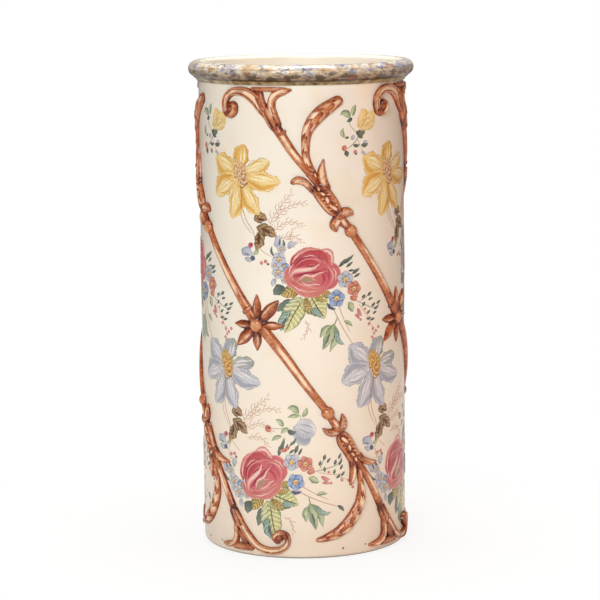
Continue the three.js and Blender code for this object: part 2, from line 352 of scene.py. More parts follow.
@dataclass
class Glaze:
    """A material under one clear lead glaze: smooth, hard and a little wavy.

    The glaze gives every surface the same wet gloss, so that only the colour under it changes.

    Attributes:
        name: name of the material.
        roughness: how matt it is.
        wave_size: width of its waves in millimetres.
        wave_depth: their depth in millimetres.
        material, tree, shader: the material, its nodes and the node that shades it.
        place: the coordinates of the point that is shaded, in metres.
    """

    name: str
    roughness: float = 0.2
    wave_size: float = 9.0
    wave_depth: float = 0.05
    material: bpy.types.Material = field(init=False)
    tree: bpy.types.NodeTree = field(init=False)
    shader: bpy.types.Node = field(init=False)
    place: bpy.types.NodeSocket = field(init=False)

    def __post_init__(self) -> None:
        """Starts the material with its glaze and no colour yet."""
        self.material = bpy.data.materials.new(self.name)
        self.material.use_nodes = True
        self.tree = self.material.node_tree
        self.shader = self.tree.nodes["Principled BSDF"]
        self.shader.inputs["Roughness"].default_value = self.roughness
        self.shader.inputs["IOR"].default_value = 1.5
        self.place = add_node(self.tree, "ShaderNodeTexCoord", {}, {}).outputs["Object"]
        waves = self.noise(self.wave_size, detail=1.0)
        bump = add_node(self.tree, "ShaderNodeBump", {}, {
            "Strength": 0.35, "Distance": self.wave_depth * MM, "Height": waves,
        })
        self.tree.links.new(bump.outputs["Normal"], self.shader.inputs["Normal"])

    def noise(self, size: float, detail: float = 2.0, place: bpy.types.NodeSocket | None = None,
              scale: float | None = None) -> bpy.types.NodeSocket:
        """Makes cloudy noise from 0 to 1.

        Args:
            size: width of its features in millimetres.
            detail: how many finer octaves it has.
            place: coordinates to read instead of the object's.
            scale: scale to use instead of the one worked out from size.

        Returns:
            The noise value.
        """
        node = add_node(self.tree, "ShaderNodeTexNoise", {}, {
            "Vector": place or self.place, "Scale": scale or per(size), "Detail": detail,
        })
        return node.outputs["Fac"]

    def maths(self, operation: str, *values: object) -> bpy.types.NodeSocket:
        """Works out one sum on numbers or sockets."""
        sockets = dict(enumerate(values))
        return add_node(self.tree, "ShaderNodeMath", {"operation": operation}, sockets).outputs[0]

    def swing(self, size: float, reach: float, detail: float = 2.0) -> bpy.types.NodeSocket:
        """Makes cloudy noise that goes the given reach to each side of 0."""
        return self.maths("MULTIPLY_ADD", self.noise(size, detail), 2 * reach, -reach)

    def between(self, value: bpy.types.NodeSocket, low: float, high: float,
                top: float = 1.0) -> bpy.types.NodeSocket:
        """Rises smoothly from 0 to the top as a value goes from low to high.

        Args:
            value: the value to read.
            low: where the rise starts.
            high: where it ends, above or below low.
            top: where it rises to.

        Returns:
            The risen value.
        """
        node = add_node(self.tree, "ShaderNodeMapRange", {"interpolation_type": "SMOOTHSTEP"}, {
            "Value": value, "From Min": low, "From Max": high, "To Max": top,
        })
        return node.outputs["Result"]

    def mixed(self, share: object, first: object, second: object,
              blend: str = "MIX") -> bpy.types.NodeSocket:
        """Mixes two colours.

        Args:
            share: how much of the second colour shows, a number or a socket.
            first: hex colour or socket.
            second: hex colour or socket.
            blend: Blender's name of the way they mix.

        Returns:
            The mixed colour.
        """
        colours = [linear(c) if isinstance(c, str) else c for c in (first, second)]
        node = add_node(self.tree, "ShaderNodeMix", {"data_type": "RGBA", "blend_type": blend}, {
            MIX_FACTOR: share, MIX_A: colours[0], MIX_B: colours[1],
        })
        return node.outputs[MIX_RESULT]

    def lined(self, ground: bpy.types.NodeSocket, value: bpy.types.NodeSocket, middle: float,
              reach: float, share: float, colour: str) -> bpy.types.NodeSocket:
        """Draws a thin line on a ground.

        Args:
            ground: colour of the ground.
            value: a measure in metres.
            middle: the measure in millimetres at which the line runs.
            reach: half its width in millimetres.
            share: how strongly it shows.
            colour: its hex colour.

        Returns:
            The lined colour.
        """
        off = self.maths("ABSOLUTE", self.maths("SUBTRACT", value, middle * MM))
        return self.mixed(self.between(off, reach * MM, 0.2 * MM, share), ground, colour)

    def ramp(self, value: bpy.types.NodeSocket, stops: list[tuple[float, str]]) -> bpy.types.NodeSocket:
        """Turns a value into a colour by the given stops."""
        node = add_node(self.tree, "ShaderNodeValToRGB", {}, {"Fac": value})
        set_stops(node, stops)
        return node.outputs["Color"]

    def split(self, vector: bpy.types.NodeSocket) -> list[bpy.types.NodeSocket]:
        """Splits three numbers that travel together."""
        return list(add_node(self.tree, "ShaderNodeSeparateXYZ", {}, {"Vector": vector}).outputs)

    def attribute(self, name: str) -> list[bpy.types.NodeSocket]:
        """Reads the three numbers of a vertex attribute."""
        read = add_node(self.tree, "ShaderNodeAttribute", {"attribute_name": name}, {})
        return self.split(read.outputs["Vector"])

    def height(self) -> bpy.types.NodeSocket:
        """Measures how high a point stands, in metres."""
        return self.split(self.place)[2]

    def times(self, vector: bpy.types.NodeSocket, scale: tuple[float, float, float]) -> bpy.types.NodeSocket:
        """Stretches three numbers that travel together."""
        settings = {"operation": "MULTIPLY"}
        return add_node(self.tree, "ShaderNodeVectorMath", settings, {0: vector, 1: scale}).outputs[0]

    def from_axis(self) -> bpy.types.NodeSocket:
        """Measures how far a point stands from the axis of the pot, in metres."""
        flat = self.times(self.place, (1, 1, 0))
        node = add_node(self.tree, "ShaderNodeVectorMath", {"operation": "LENGTH"}, {0: flat})
        return node.outputs["Value"]

    def colour(self, socket: bpy.types.NodeSocket) -> bpy.types.Material:
        """Sends a colour to the glaze and gives the finished material."""
        self.tree.links.new(socket, self.shader.inputs["Base Color"])
        return self.material


def cream_glaze() -> bpy.types.Material:
    """Cream earthenware under lead glaze, dipped: faintly clouded and warmer and darker towards the foot."""
    glaze = Glaze("cream_lead_glaze", roughness=0.2, wave_size=24.0, wave_depth=0.25)
    clouds = glaze.mixed(glaze.noise(70.0), "#f0eae0", "#ebe3d5")
    blush = glaze.mixed(glaze.between(glaze.noise(38.0), 0.48, 0.75), clouds, "#ece1d0")
    height = glaze.height()
    # Warmer and darker from 360 mm up the wall down to 20 mm
    darker_low = glaze.mixed(glaze.between(height, 360 * MM, 20 * MM, 0.55), blush, "#e7d5c0")
    # Painted light: inside the mouth, where the lamps reach less, the same glaze is given a paler cream than
    # outside
    inside = glaze.between(glaze.from_axis(), 117.5 * MM, 116.5 * MM)
    cream = glaze.mixed(inside, darker_low, "#fffbf4")
    # Painted shade: a thin dark grey band over the bottom 3 mm, where the rounded foot turns under
    return glaze.colour(glaze.mixed(glaze.between(height, 3.2 * MM, 0.6 * MM), cream, "#8d8172"))


def brown_slip() -> bpy.types.Material:
    """Red-brown slip brushed on the sprigs, darker in the hollows and round the foot of each sprig and paler
    on the crests: partly slip lying thick or thin, partly painted shade and painted highlight.
    """
    glaze = Glaze("brown_slip_on_sprigs", roughness=0.17, wave_size=3.0, wave_depth=0.05)
    glow, shade, _ = glaze.attribute(BRUSH)
    # Painted shade and highlight: the crest share darkens hollows and the low edges of a sprig and lightens
    # its crests
    crest = glaze.attribute(CREST)[0]
    patches = glaze.maths("ADD", glaze.swing(11.0, 0.3, detail=3.0), glaze.swing(3.2, 0.3))
    tone = glaze.maths("ADD", crest, patches)
    shaded = glaze.maths("SUBTRACT", tone, glaze.maths("MULTIPLY", shade, 0.42))
    slip = glaze.ramp(shaded, [
        (0.0, "#431709"), (0.24, "#762f18"), (0.48, "#a95a33"), (0.7, "#c68558"), (1.0, "#e2b089"),
    ])
    # Painted highlight and slip wiped thin: pale peach where the glow is high, broken into patches by noise
    patchy = glaze.maths("MULTIPLY_ADD", glaze.between(glaze.noise(13.0, detail=1.0), 0.3, 0.6), 0.5, 0.55)
    thin = glaze.maths("MULTIPLY", glow, patchy)
    return glaze.colour(glaze.mixed(glaze.between(thin, 0.18, 0.95), slip, "#f1d3b4"))


def sheet_print(glaze: Glaze, depth: bpy.types.NodeSocket) -> bpy.types.NodeSocket:
    """Prints the roll: faint crowded blots in a net of brown lines, with dark blots and painted shade where
    it turns under.

    Args:
        glaze: the material.
        depth: 0 on the top of the roll, 1 at its underside.

    Returns:
        Its colour.
    """
    place = glaze.times(glaze.place, (0.7, 0.7, 1.5))
    clouds = glaze.noise(15.0, 3.0, place)
    sheet = glaze.ramp(clouds, [
        (0.3, "#adaab4"), (0.42, "#d0c9c6"), (0.52, "#e5dbc9"), (0.6, "#cfb997"), (0.7, "#c09a82"),
    ])
    for size, low, share, colour in (
        (9.0, 0.57, 0.85, "#8792b4"), (6.5, 0.59, 0.7, "#a67f4e"), (7.5, 0.64, 0.7, "#8b8c62"),
        (4.4, 0.62, 0.8, "#53443c"),
    ):
        blot = glaze.between(glaze.noise(size, 3.0, place), low, low + 0.045, share)
        sheet = glaze.mixed(blot, sheet, colour)
    ridge = glaze.maths("ABSOLUTE", glaze.maths("SUBTRACT", glaze.noise(7.0, 4.0, place), 0.5))
    sheet = glaze.mixed(glaze.between(ridge, 0.018, 0.006, 0.7), sheet, "#67523f")
    # Painted shade: the print darkens towards the underside of the roll
    sheet = glaze.mixed(glaze.maths("MULTIPLY", depth, 0.85), sheet, "#9a7b54", "MULTIPLY")
    soaked = glaze.maths("MULTIPLY_ADD", depth, 0.12, glaze.noise(8.5, 3.0, place))
    stain = glaze.maths("MULTIPLY", glaze.between(soaked, 0.58, 0.68), depth)
    sheet = glaze.mixed(stain, sheet, "#46341e")
    petals = glaze.maths("MULTIPLY_ADD", depth, 0.08, clouds)
    return glaze.mixed(glaze.between(petals, 0.7, 0.75), sheet, "#8a3a2a")


def printed_rim() -> bpy.types.Material:
    """Sheet print wrapped on the rim under the glaze, with thin lines near the top and at the lip where the
    sheet was trimmed, a dark line of painted shadow under the roll, and a tan cove partly darkened as
    painted shade.
    """
    glaze = Glaze("sheet_print_on_rim", roughness=0.22, wave_size=5.0, wave_depth=0.06)
    height, out = glaze.height(), glaze.from_axis()
    roll_foot, lip = RIM_FOOT + 5.0, 119.0
    depth = glaze.between(height, (HEIGHT - 5) * MM, (HEIGHT - 15) * MM)
    # The cove's own tan print with dark blots, made darker as painted shade under the roll
    under = glaze.ramp(glaze.noise(9.0, detail=3.0), [
        (0.3, "#483822"), (0.46, "#8b7550"), (0.62, "#ad976f"), (0.8, "#c2ae86"),
    ])
    below_roll = glaze.between(height, (roll_foot + 1.2) * MM, (roll_foot - 0.8) * MM)
    rim = glaze.mixed(below_roll, sheet_print(glaze, depth), under)
    # Painted shadow: a dark line where the cove meets the underside of the roll
    rim = glaze.lined(rim, height, roll_foot, 1.6, 0.9, "#2e2118")
    rim = glaze.lined(rim, height, HEIGHT - 5.5, 0.7, 0.45, "#80695a")
    rim = glaze.mixed(glaze.between(out, (lip + 2.5) * MM, (lip + 0.5) * MM), rim, "#f8f0e0")
    return glaze.colour(glaze.lined(rim, out, lip, 1.0, 0.7, "#978b78"))


@dataclass(frozen=True)
class Paint:
    """Enamel brushed on the glaze: it shades from root to tip, gathers at its edge and shows the brush.

    Attributes:
        root: colour where the stroke starts.
        body: colour over most of it.
        tip: colour where it ends.
        edge: colour that gathers along its sides.
        vein: colour of the streaks that run along it.
        edging: share of the half width that the edge colour takes.
        streaks: how many streaks lie across it.
        veined: how strongly the streaks show.
        ribs: how many side veins cross it, as on a leaf.
        lee: colour of its shaded half, or nothing.
    """

    root: str
    body: str
    tip: str
    edge: str
    vein: str
    edging: float = 0.3
    streaks: float = 5.0
    veined: float = 0.45
    ribs: int = 0
    lee: str = ""

    def material(self, name: str) -> bpy.types.Material:
        """Mixes the paint.

        Args:
            name: name of the paint.

        Returns:
            The material that the strokes of this paint share.
        """
        glaze = Glaze(f"enamel_{name}", roughness=0.22, wave_size=1.5, wave_depth=0.02)
        along, across, tint = glaze.attribute(BRUSH)
        wobble = glaze.swing(6.0, 0.25)
        run = glaze.maths("ADD", along, wobble)
        wash = glaze.ramp(run, [(0.0, self.root), (0.45, self.body), (1.0, self.tip)])
        brush_place = add_node(glaze.tree, "ShaderNodeCombineXYZ", {}, {
            0: glaze.maths("MULTIPLY", along, 1.3),
            1: glaze.maths("MULTIPLY", across, self.streaks / 2),
            2: glaze.maths("MULTIPLY", tint, 40.0),
        })
        hairs = glaze.noise(1.0, 3.0, brush_place.outputs[0], scale=1.0)
        streak = glaze.between(hairs, 0.5, 0.68, self.veined)
        side = glaze.maths("ABSOLUTE", across)
        if self.lee:
            lee_side = glaze.maths("ADD", across, glaze.maths("MULTIPLY", wobble, 1.6))
            wash = glaze.mixed(glaze.between(lee_side, 0.0, 0.6), wash, self.lee)
        veined = glaze.mixed(streak, wash, self.vein)
        if self.ribs:
            steady = glaze.maths("MULTIPLY_ADD", wobble, 0.25, along)
            count = glaze.maths("MULTIPLY", steady, float(self.ribs))
            slant = glaze.maths("MULTIPLY_ADD", side, -1.3, count)
            rib = glaze.between(glaze.maths("PINGPONG", slant, 0.5), 0.22, 0.34, 0.8)
            veined = glaze.mixed(rib, veined, self.vein)
        frayed = glaze.maths("MULTIPLY_ADD", wobble, 0.6, glaze.swing(1.6, 0.18))
        rough_side = glaze.maths("ADD", side, frayed)
        gathered = glaze.between(rough_side, 1.0 - self.edging, 1.02)
        edged = glaze.mixed(gathered, veined, self.edge)
        stipple = glaze.mixed(glaze.between(glaze.noise(1.3, detail=1.0), 0.3, 0.7), "#d2cbc2", "#ffffff")
        return glaze.colour(glaze.mixed(0.45, edged, stipple, "MULTIPLY"))


PAINTS = {
    # root, body, tip, edge, vein, then edging, streaks, veined, ribs and the colour of the lee side
    "straw": Paint("#e2b868", "#f3da9c", "#eed08a", "#d3a75e", "#f9edc8", 0.16, 8, 0.75, lee="#ecc67c"),
    "pale_straw": Paint("#e3c684", "#ecdcab", "#ead59c", "#ab9468", "#f5edcd", 0.16, 7, 0.6, lee="#e3c583"),
    "amber": Paint("#dbb064", "#e3b362", "#e6bc74", "#c08c44", "#f2d698", 0.18, 6, 0.6, lee="#d9a24e"),
    "straw_light": Paint("#f3dc9c", "#fbf0cd", "#f7e7b8", "#f0d694", "#fff8e4", 0.85, 6, 0.5),
    "straw_shade": Paint("#d69c46", "#dfaa54", "#e2b062", "#eecd84", "#c08a3a", 0.75, 6, 0.5),
    "bloom_blue": Paint("#d2ccd1", "#cdcbd3", "#c0c2cc", "#8b95a6", "#e2e0e4", 0.14, 8, 0.75, lee="#b8bac6"),
    "bloom_light": Paint("#d8d5db", "#e6e3e7", "#dcdce2", "#cdccd5", "#f0eef0", 0.85, 6, 0.5),
    "bloom_shadow": Paint("#a8a9b6", "#a5a9b6", "#9ca4b1", "#bfc0cb", "#8c95a5", 0.75, 6, 0.6),
    "sage": Paint("#bdb48c", "#a9ae9c", "#9ba49a", "#768372", "#cbc9b2", 0.18, 7, 0.6, lee="#8f998e"),
    "cone_tan": Paint("#eac983", "#dcb482", "#c69a72", "#ddb886", "#ead0a8", 0.7, 8, 0.6),
    "cone_orange": Paint("#c9a65e", "#cf953f", "#bb7a30", "#c9a36a", "#e2bb66", 0.6, 8, 0.6),
    "cone_cell": Paint("#ecd0b4", "#f1dcc6", "#ecd0b4", "#c99a78", "#f8ecdc", 0.5, 3, 0.3),
    "cone_gap": Paint("#a06e44", "#99683f", "#a5764c", "#b98a5e", "#86552f", 0.5, 3, 0.3),
    "rose_deep": Paint("#b83745", "#b93f4a", "#c75c61", "#d98f8b", "#962439", 0.3, 13, 0.8),
    "rose_mid": Paint("#c9606a", "#cf6f73", "#ca656b", "#dd9a92", "#b4454f", 0.35, 13, 0.75),
    "rose_salmon": Paint("#c05c60", "#d07e76", "#cb736e", "#dfa296", "#b04b50", 0.35, 13, 0.75),
    "rose_pale": Paint("#dc9a94", "#f2d2c6", "#e9baaf", "#d28084", "#fbece4", 0.85, 10, 0.75),
    "rose_soft": Paint("#d28580", "#dc9a93", "#d68d86", "#cf7d78", "#eec3b8", 0.85, 7, 0.6),
    "crimson": Paint("#94263a", "#9c2b3f", "#ab4050", "#c65e6c", "#861f33", 0.7, 6, 0.4),
    "rose_bright": Paint("#b83a50", "#c44c61", "#cf6c79", "#d47e88", "#dd939a", 0.6, 8, 0.6),
    "taupe": Paint("#a98a6c", "#a88767", "#b0907a", "#cf8f86", "#9a7b58", 0.5, 3, 0.4),
    "leaf_lime": Paint("#7f9460", "#aebb84", "#c4c58c", "#5d6e57", "#efe2ae", 0.16, 4, 0.3, 8, "#82a08c"),
    "leaf_ochre": Paint("#96702f", "#d0ae66", "#dcc47e", "#5c4a30", "#7b5c2a", 0.16, 4, 0.3, 6, "#a9a86c"),
    "leaf_teal": Paint("#3f5b57", "#76958e", "#93ad9f", "#34494a", "#b0c4b2", 0.28, 5, 0.5, 5),
    "leaf_green": Paint("#8b9a68", "#c0c8a2", "#b1bc96", "#5b7656", "#dde0c2", 0.26, 5, 0.55, lee="#7e9375"),
    "leaf_dark": Paint("#424c44", "#5e6c64", "#77847a", "#384039", "#8f9a90", 0.3, 4, 0.4),
    "leaf_brown": Paint("#503b2a", "#8a6a4a", "#a48560", "#5a4330", "#bf9f78", 0.3, 7, 0.8, 4, "#6b4f38"),
    "lilac": Paint("#8b92ac", "#b8bccd", "#cacbd5", "#7d86a2", "#dfe0e7", 0.3, 6, 0.6),
    "blue": Paint("#4a6298", "#819ac6", "#a6b7d6", "#435c98", "#c8d3e6", 0.3, 6, 0.7),
    "grey": Paint("#8f929e", "#b9bcc5", "#cbccd1", "#7d8391", "#dededf", 0.3, 6, 0.6),
    "ink": Paint("#4b5470", "#565f7c", "#626b86", "#454d68", "#7a829a", 0.3, 3, 0.3),
    "red": Paint("#ab4446", "#cc7766", "#dc9c84", "#a04446", "#eac0a4", 0.3, 6, 0.7),
    "pink": Paint("#bc6570", "#cd8889", "#d8a39c", "#ac5a66", "#e2b4a8", 0.3, 4, 0.4),
    "mustard": Paint("#cf9f40", "#e6cf7c", "#efdf9c", "#a9752c", "#f6ecc0", 0.3, 3, 0.3),
    "umber": Paint("#66452f", "#5b3c29", "#6b4a36", "#4c3222", "#7d5b42", 0.3, 3, 0.3),
    "faint": Paint("#c1967f", "#cca890", "#d5b7a2", "#c49b85", "#dfc5b2", 0.2, 3, 0.3),
}


# Painting


class Form(Enum):
    """How the width of a stroke runs from its root to its tip."""

    PETAL = "petal"
    LEAF = "leaf"
    OVAL = "oval"
    LINE = "line"

    def widths(self, along: np.ndarray) -> np.ndarray:
        """Gives the width at places along a stroke.

        Args:
            along: shares of the length.

        Returns:
            Shares of the full width.
        """
        if self is Form.PETAL:
            rise = 0.4 + 0.6 * np.sin(np.clip(along / 0.55, 0, 1) * math.pi / 2)
            return rise * np.cos(np.clip((along - 0.55) / 0.45, 0, 1) * math.pi / 2) ** 0.65
        if self is Form.LEAF:
            return np.sin(math.pi * along**0.85) ** 0.85
        if self is Form.OVAL:
            return np.sqrt(1 - (2 * along - 1) ** 2)
        return np.clip(np.minimum(along, 1 - along) * 9, 0.3, 1)


@dataclass(frozen=True)
class Stroke:
    """One painted shape.

    Attributes:
        line: places from its root to its tip.
        width: full width at its widest.
        paint: name of its paint.
        layer: how many strokes lie under it.
        ruffle: share by which its sides wave in and out.
        form: how its width runs.
    """

    line: tuple[Pair, ...]
    width: float
    paint: str
    layer: int = 0
    ruffle: float = 0.0
    form: Form = Form.LEAF


@dataclass
class Palette:
    """The paints on the bench, each mixed once, when a stroke first needs it.

    Attributes:
        mixed: the materials so far, by the names of their paints.
    """

    mixed: dict[str, bpy.types.Material] = field(default_factory=dict)

    def get(self, name: str) -> bpy.types.Material:
        """Gives the material of a paint."""
        if name not in self.mixed:
            self.mixed[name] = PAINTS[name].material(name)
        return self.mixed[name]


@dataclass
class Spray:
    """A painted spray: strokes drawn about its own middle, turned, and laid on the wall.

    Attributes:
        name: name of its piece.
        at: place of its middle on the wall.
        turn: how far it is turned anticlockwise, in degrees.
        strokes: its strokes, drawn about the middle.
    """

    name: str
    at: Pair
    turn: float = 0.0
    strokes: list[Stroke] = field(default_factory=list)

    FIRST_LIFT = 0.1  # millimetres over the wall, as the other sizes here
    LAYER_LIFT = 0.05
    BACK = -0.1  # the plates reach this far into the glaze
    ROW = 1.2  # length of a face along a stroke
    COLUMN = 2.6  # and its width across
    LEAST_HALF = 0.12  # half the width of a stroke at its finest
    WAVES = 2.6  # how many waves run along each side of a ruffled stroke

    def paint_stroke(self, stroke: Stroke, number: int, palette: Palette) -> bpy.types.Object:
        """Lays one stroke on the bench.

        Args:
            stroke: the stroke to lay.
            number: its place in the spray, which sets its tint and its ruffle.
            palette: the mixed paints.

        Returns:
            An open sheet.
        """
        length = length_of(stroke.line)
        rows = int(np.clip(length / self.ROW, 4, 36)) + 1
        columns = int(np.clip(stroke.width / self.COLUMN, 1, 8)) + 1
        if len(stroke.line) == 2:
            line = np.linspace(stroke.line[0], stroke.line[1], rows)
        else:
            line = smooth_rows(list(stroke.line), rows)
        along = (1 - np.cos(np.linspace(0, math.pi, rows))) / 2
        line = np.column_stack([np.interp(along, np.linspace(0, 1, rows), c) for c in line.T])
        half = np.maximum(stroke.form.widths(along) * stroke.width / 2, self.LEAST_HALF)
        across = np.linspace(-1, 1, columns)
        tint = number * 0.618 % 1
        phase = np.where(across > 0, tint, tint + 0.37)[None, :]
        turns = 2 * math.pi * (self.WAVES * along[:, None] + phase)
        ragged = stroke.ruffle * (0.5 + along[:, None]) * (np.sin(turns) + 0.6 * np.sin(3.3 * turns))
        wave = 1 + ragged * np.abs(across)
        places = spread_across(line, half[:, None] * wave, across)
        angle = math.radians(self.turn)
        turned = places @ np.array([[math.cos(angle), math.sin(angle)], [-math.sin(angle), math.cos(angle)]])
        lift = np.full((rows, columns), self.FIRST_LIFT + self.LAYER_LIFT * stroke.layer)
        brush = np.dstack(np.broadcast_arrays(along[:, None], across[None, :], tint))
        piece = grid_piece(turned + np.array(self.at), lift, brush)
        piece.data.materials.append(palette.get(stroke.paint))
        return piece

    def build(self, palette: Palette) -> None:
        """Paints the spray on the wall, once for each stem.

        Args:
            palette: the mixed paints.
        """
        sheets = [self.paint_stroke(s, i, palette) for i, s in enumerate(self.strokes)]
        spray = join(sheets, self.name)
        thicken_down(spray, self.BACK)
        wrap_on_wall(spray)
        select_only(spray)
        bpy.ops.object.shade_smooth_by_angle(angle=math.radians(40))
        for piece in copy_round(spray, [f"{self.name}_{i + 1}" for i in range(STEM_COUNT)]):
            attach(piece, "root")
        log.info("%s: %d strokes", self.name, len(self.strokes))


def blossom(at: Pair, radius: float, paint: str, layer: int = 2) -> list[Stroke]:
    """Paints a small round flower of five petals, with ink between them and a yellow eye.

    Args:
        at: its middle.
        radius: reach of its petals.
        paint: paint of the petals.
        layer: layer of the ink, under the petals.

    Returns:
        Its strokes.
    """
    strokes = []
    for i in range(5):
        a = math.radians(72 * i + 15 * radius)
        tip, middle = place_from(at, radius, a), place_from(at, radius / 2, a)
        notch = place_from(at, 0.86 * radius, a + math.radians(36))
        strokes.append(Stroke((at, notch), radius * 0.5, "ink", layer))
        strokes.append(Stroke((at, tip), radius * 0.92, paint, layer + 1 + i % 2, form=Form.PETAL))
        strokes.append(Stroke((at, middle), radius * 0.14, "ink", layer + 3))
    eye = radius * 0.3
    core = eye * 0.45
    strokes.append(dot(at, eye, "mustard", layer + 4))
    strokes.append(dot((at[0] + core / 2, at[1] - core / 2), core, "red", layer + 5))
    return strokes


def frond(line: tuple[Pair, ...], reach: float, paint: str) -> list[Stroke]:
    """Paints a feathery frond: a thin stem with curved leaflets that shorten towards its tip.

    Args:
        line: places along the stem.
        reach: length of the leaflets at the root.
        paint: its paint.

    Returns:
        Its strokes.
    """
    count = int(length_of(line) / 2.8) + 2
    stem = smooth_rows(list(line), count)
    strokes = [Stroke(tuple(map(tuple, stem)), 0.7, paint, form=Form.LINE)]
    ahead = np.gradient(stem, axis=0)
    for i in range(1, count):
        heading = math.atan2(ahead[i][1], ahead[i][0])
        side = (-1) ** i
        length = reach * (1 - 0.5 * i / count) * (1 + 0.35 * math.sin(5 * i))
        root = tuple(stem[i])
        knee = place_from(root, 0.6 * length, heading + 0.85 * side)
        tip = place_from(knee, 0.5 * length, heading + 0.2 * side)
        strokes.append(Stroke((root, knee, tip), 0.9, paint))
    return strokes


def dot(at: Pair, radius: float, paint: str, layer: int = 1) -> Stroke:
    """Paints a round dot."""
    ends = ((at[0] - radius, at[1]), (at[0] + radius, at[1]))
    return Stroke(ends, 2 * radius, paint, layer, form=Form.OVAL)


def scaled(stroke: Stroke, size: float) -> Stroke:
    """Draws a stroke larger or smaller about the middle of its spray."""
    line = tuple((u * size, z * size) for u, z in stroke.line)
    return replace(stroke, line=line, width=stroke.width * size)


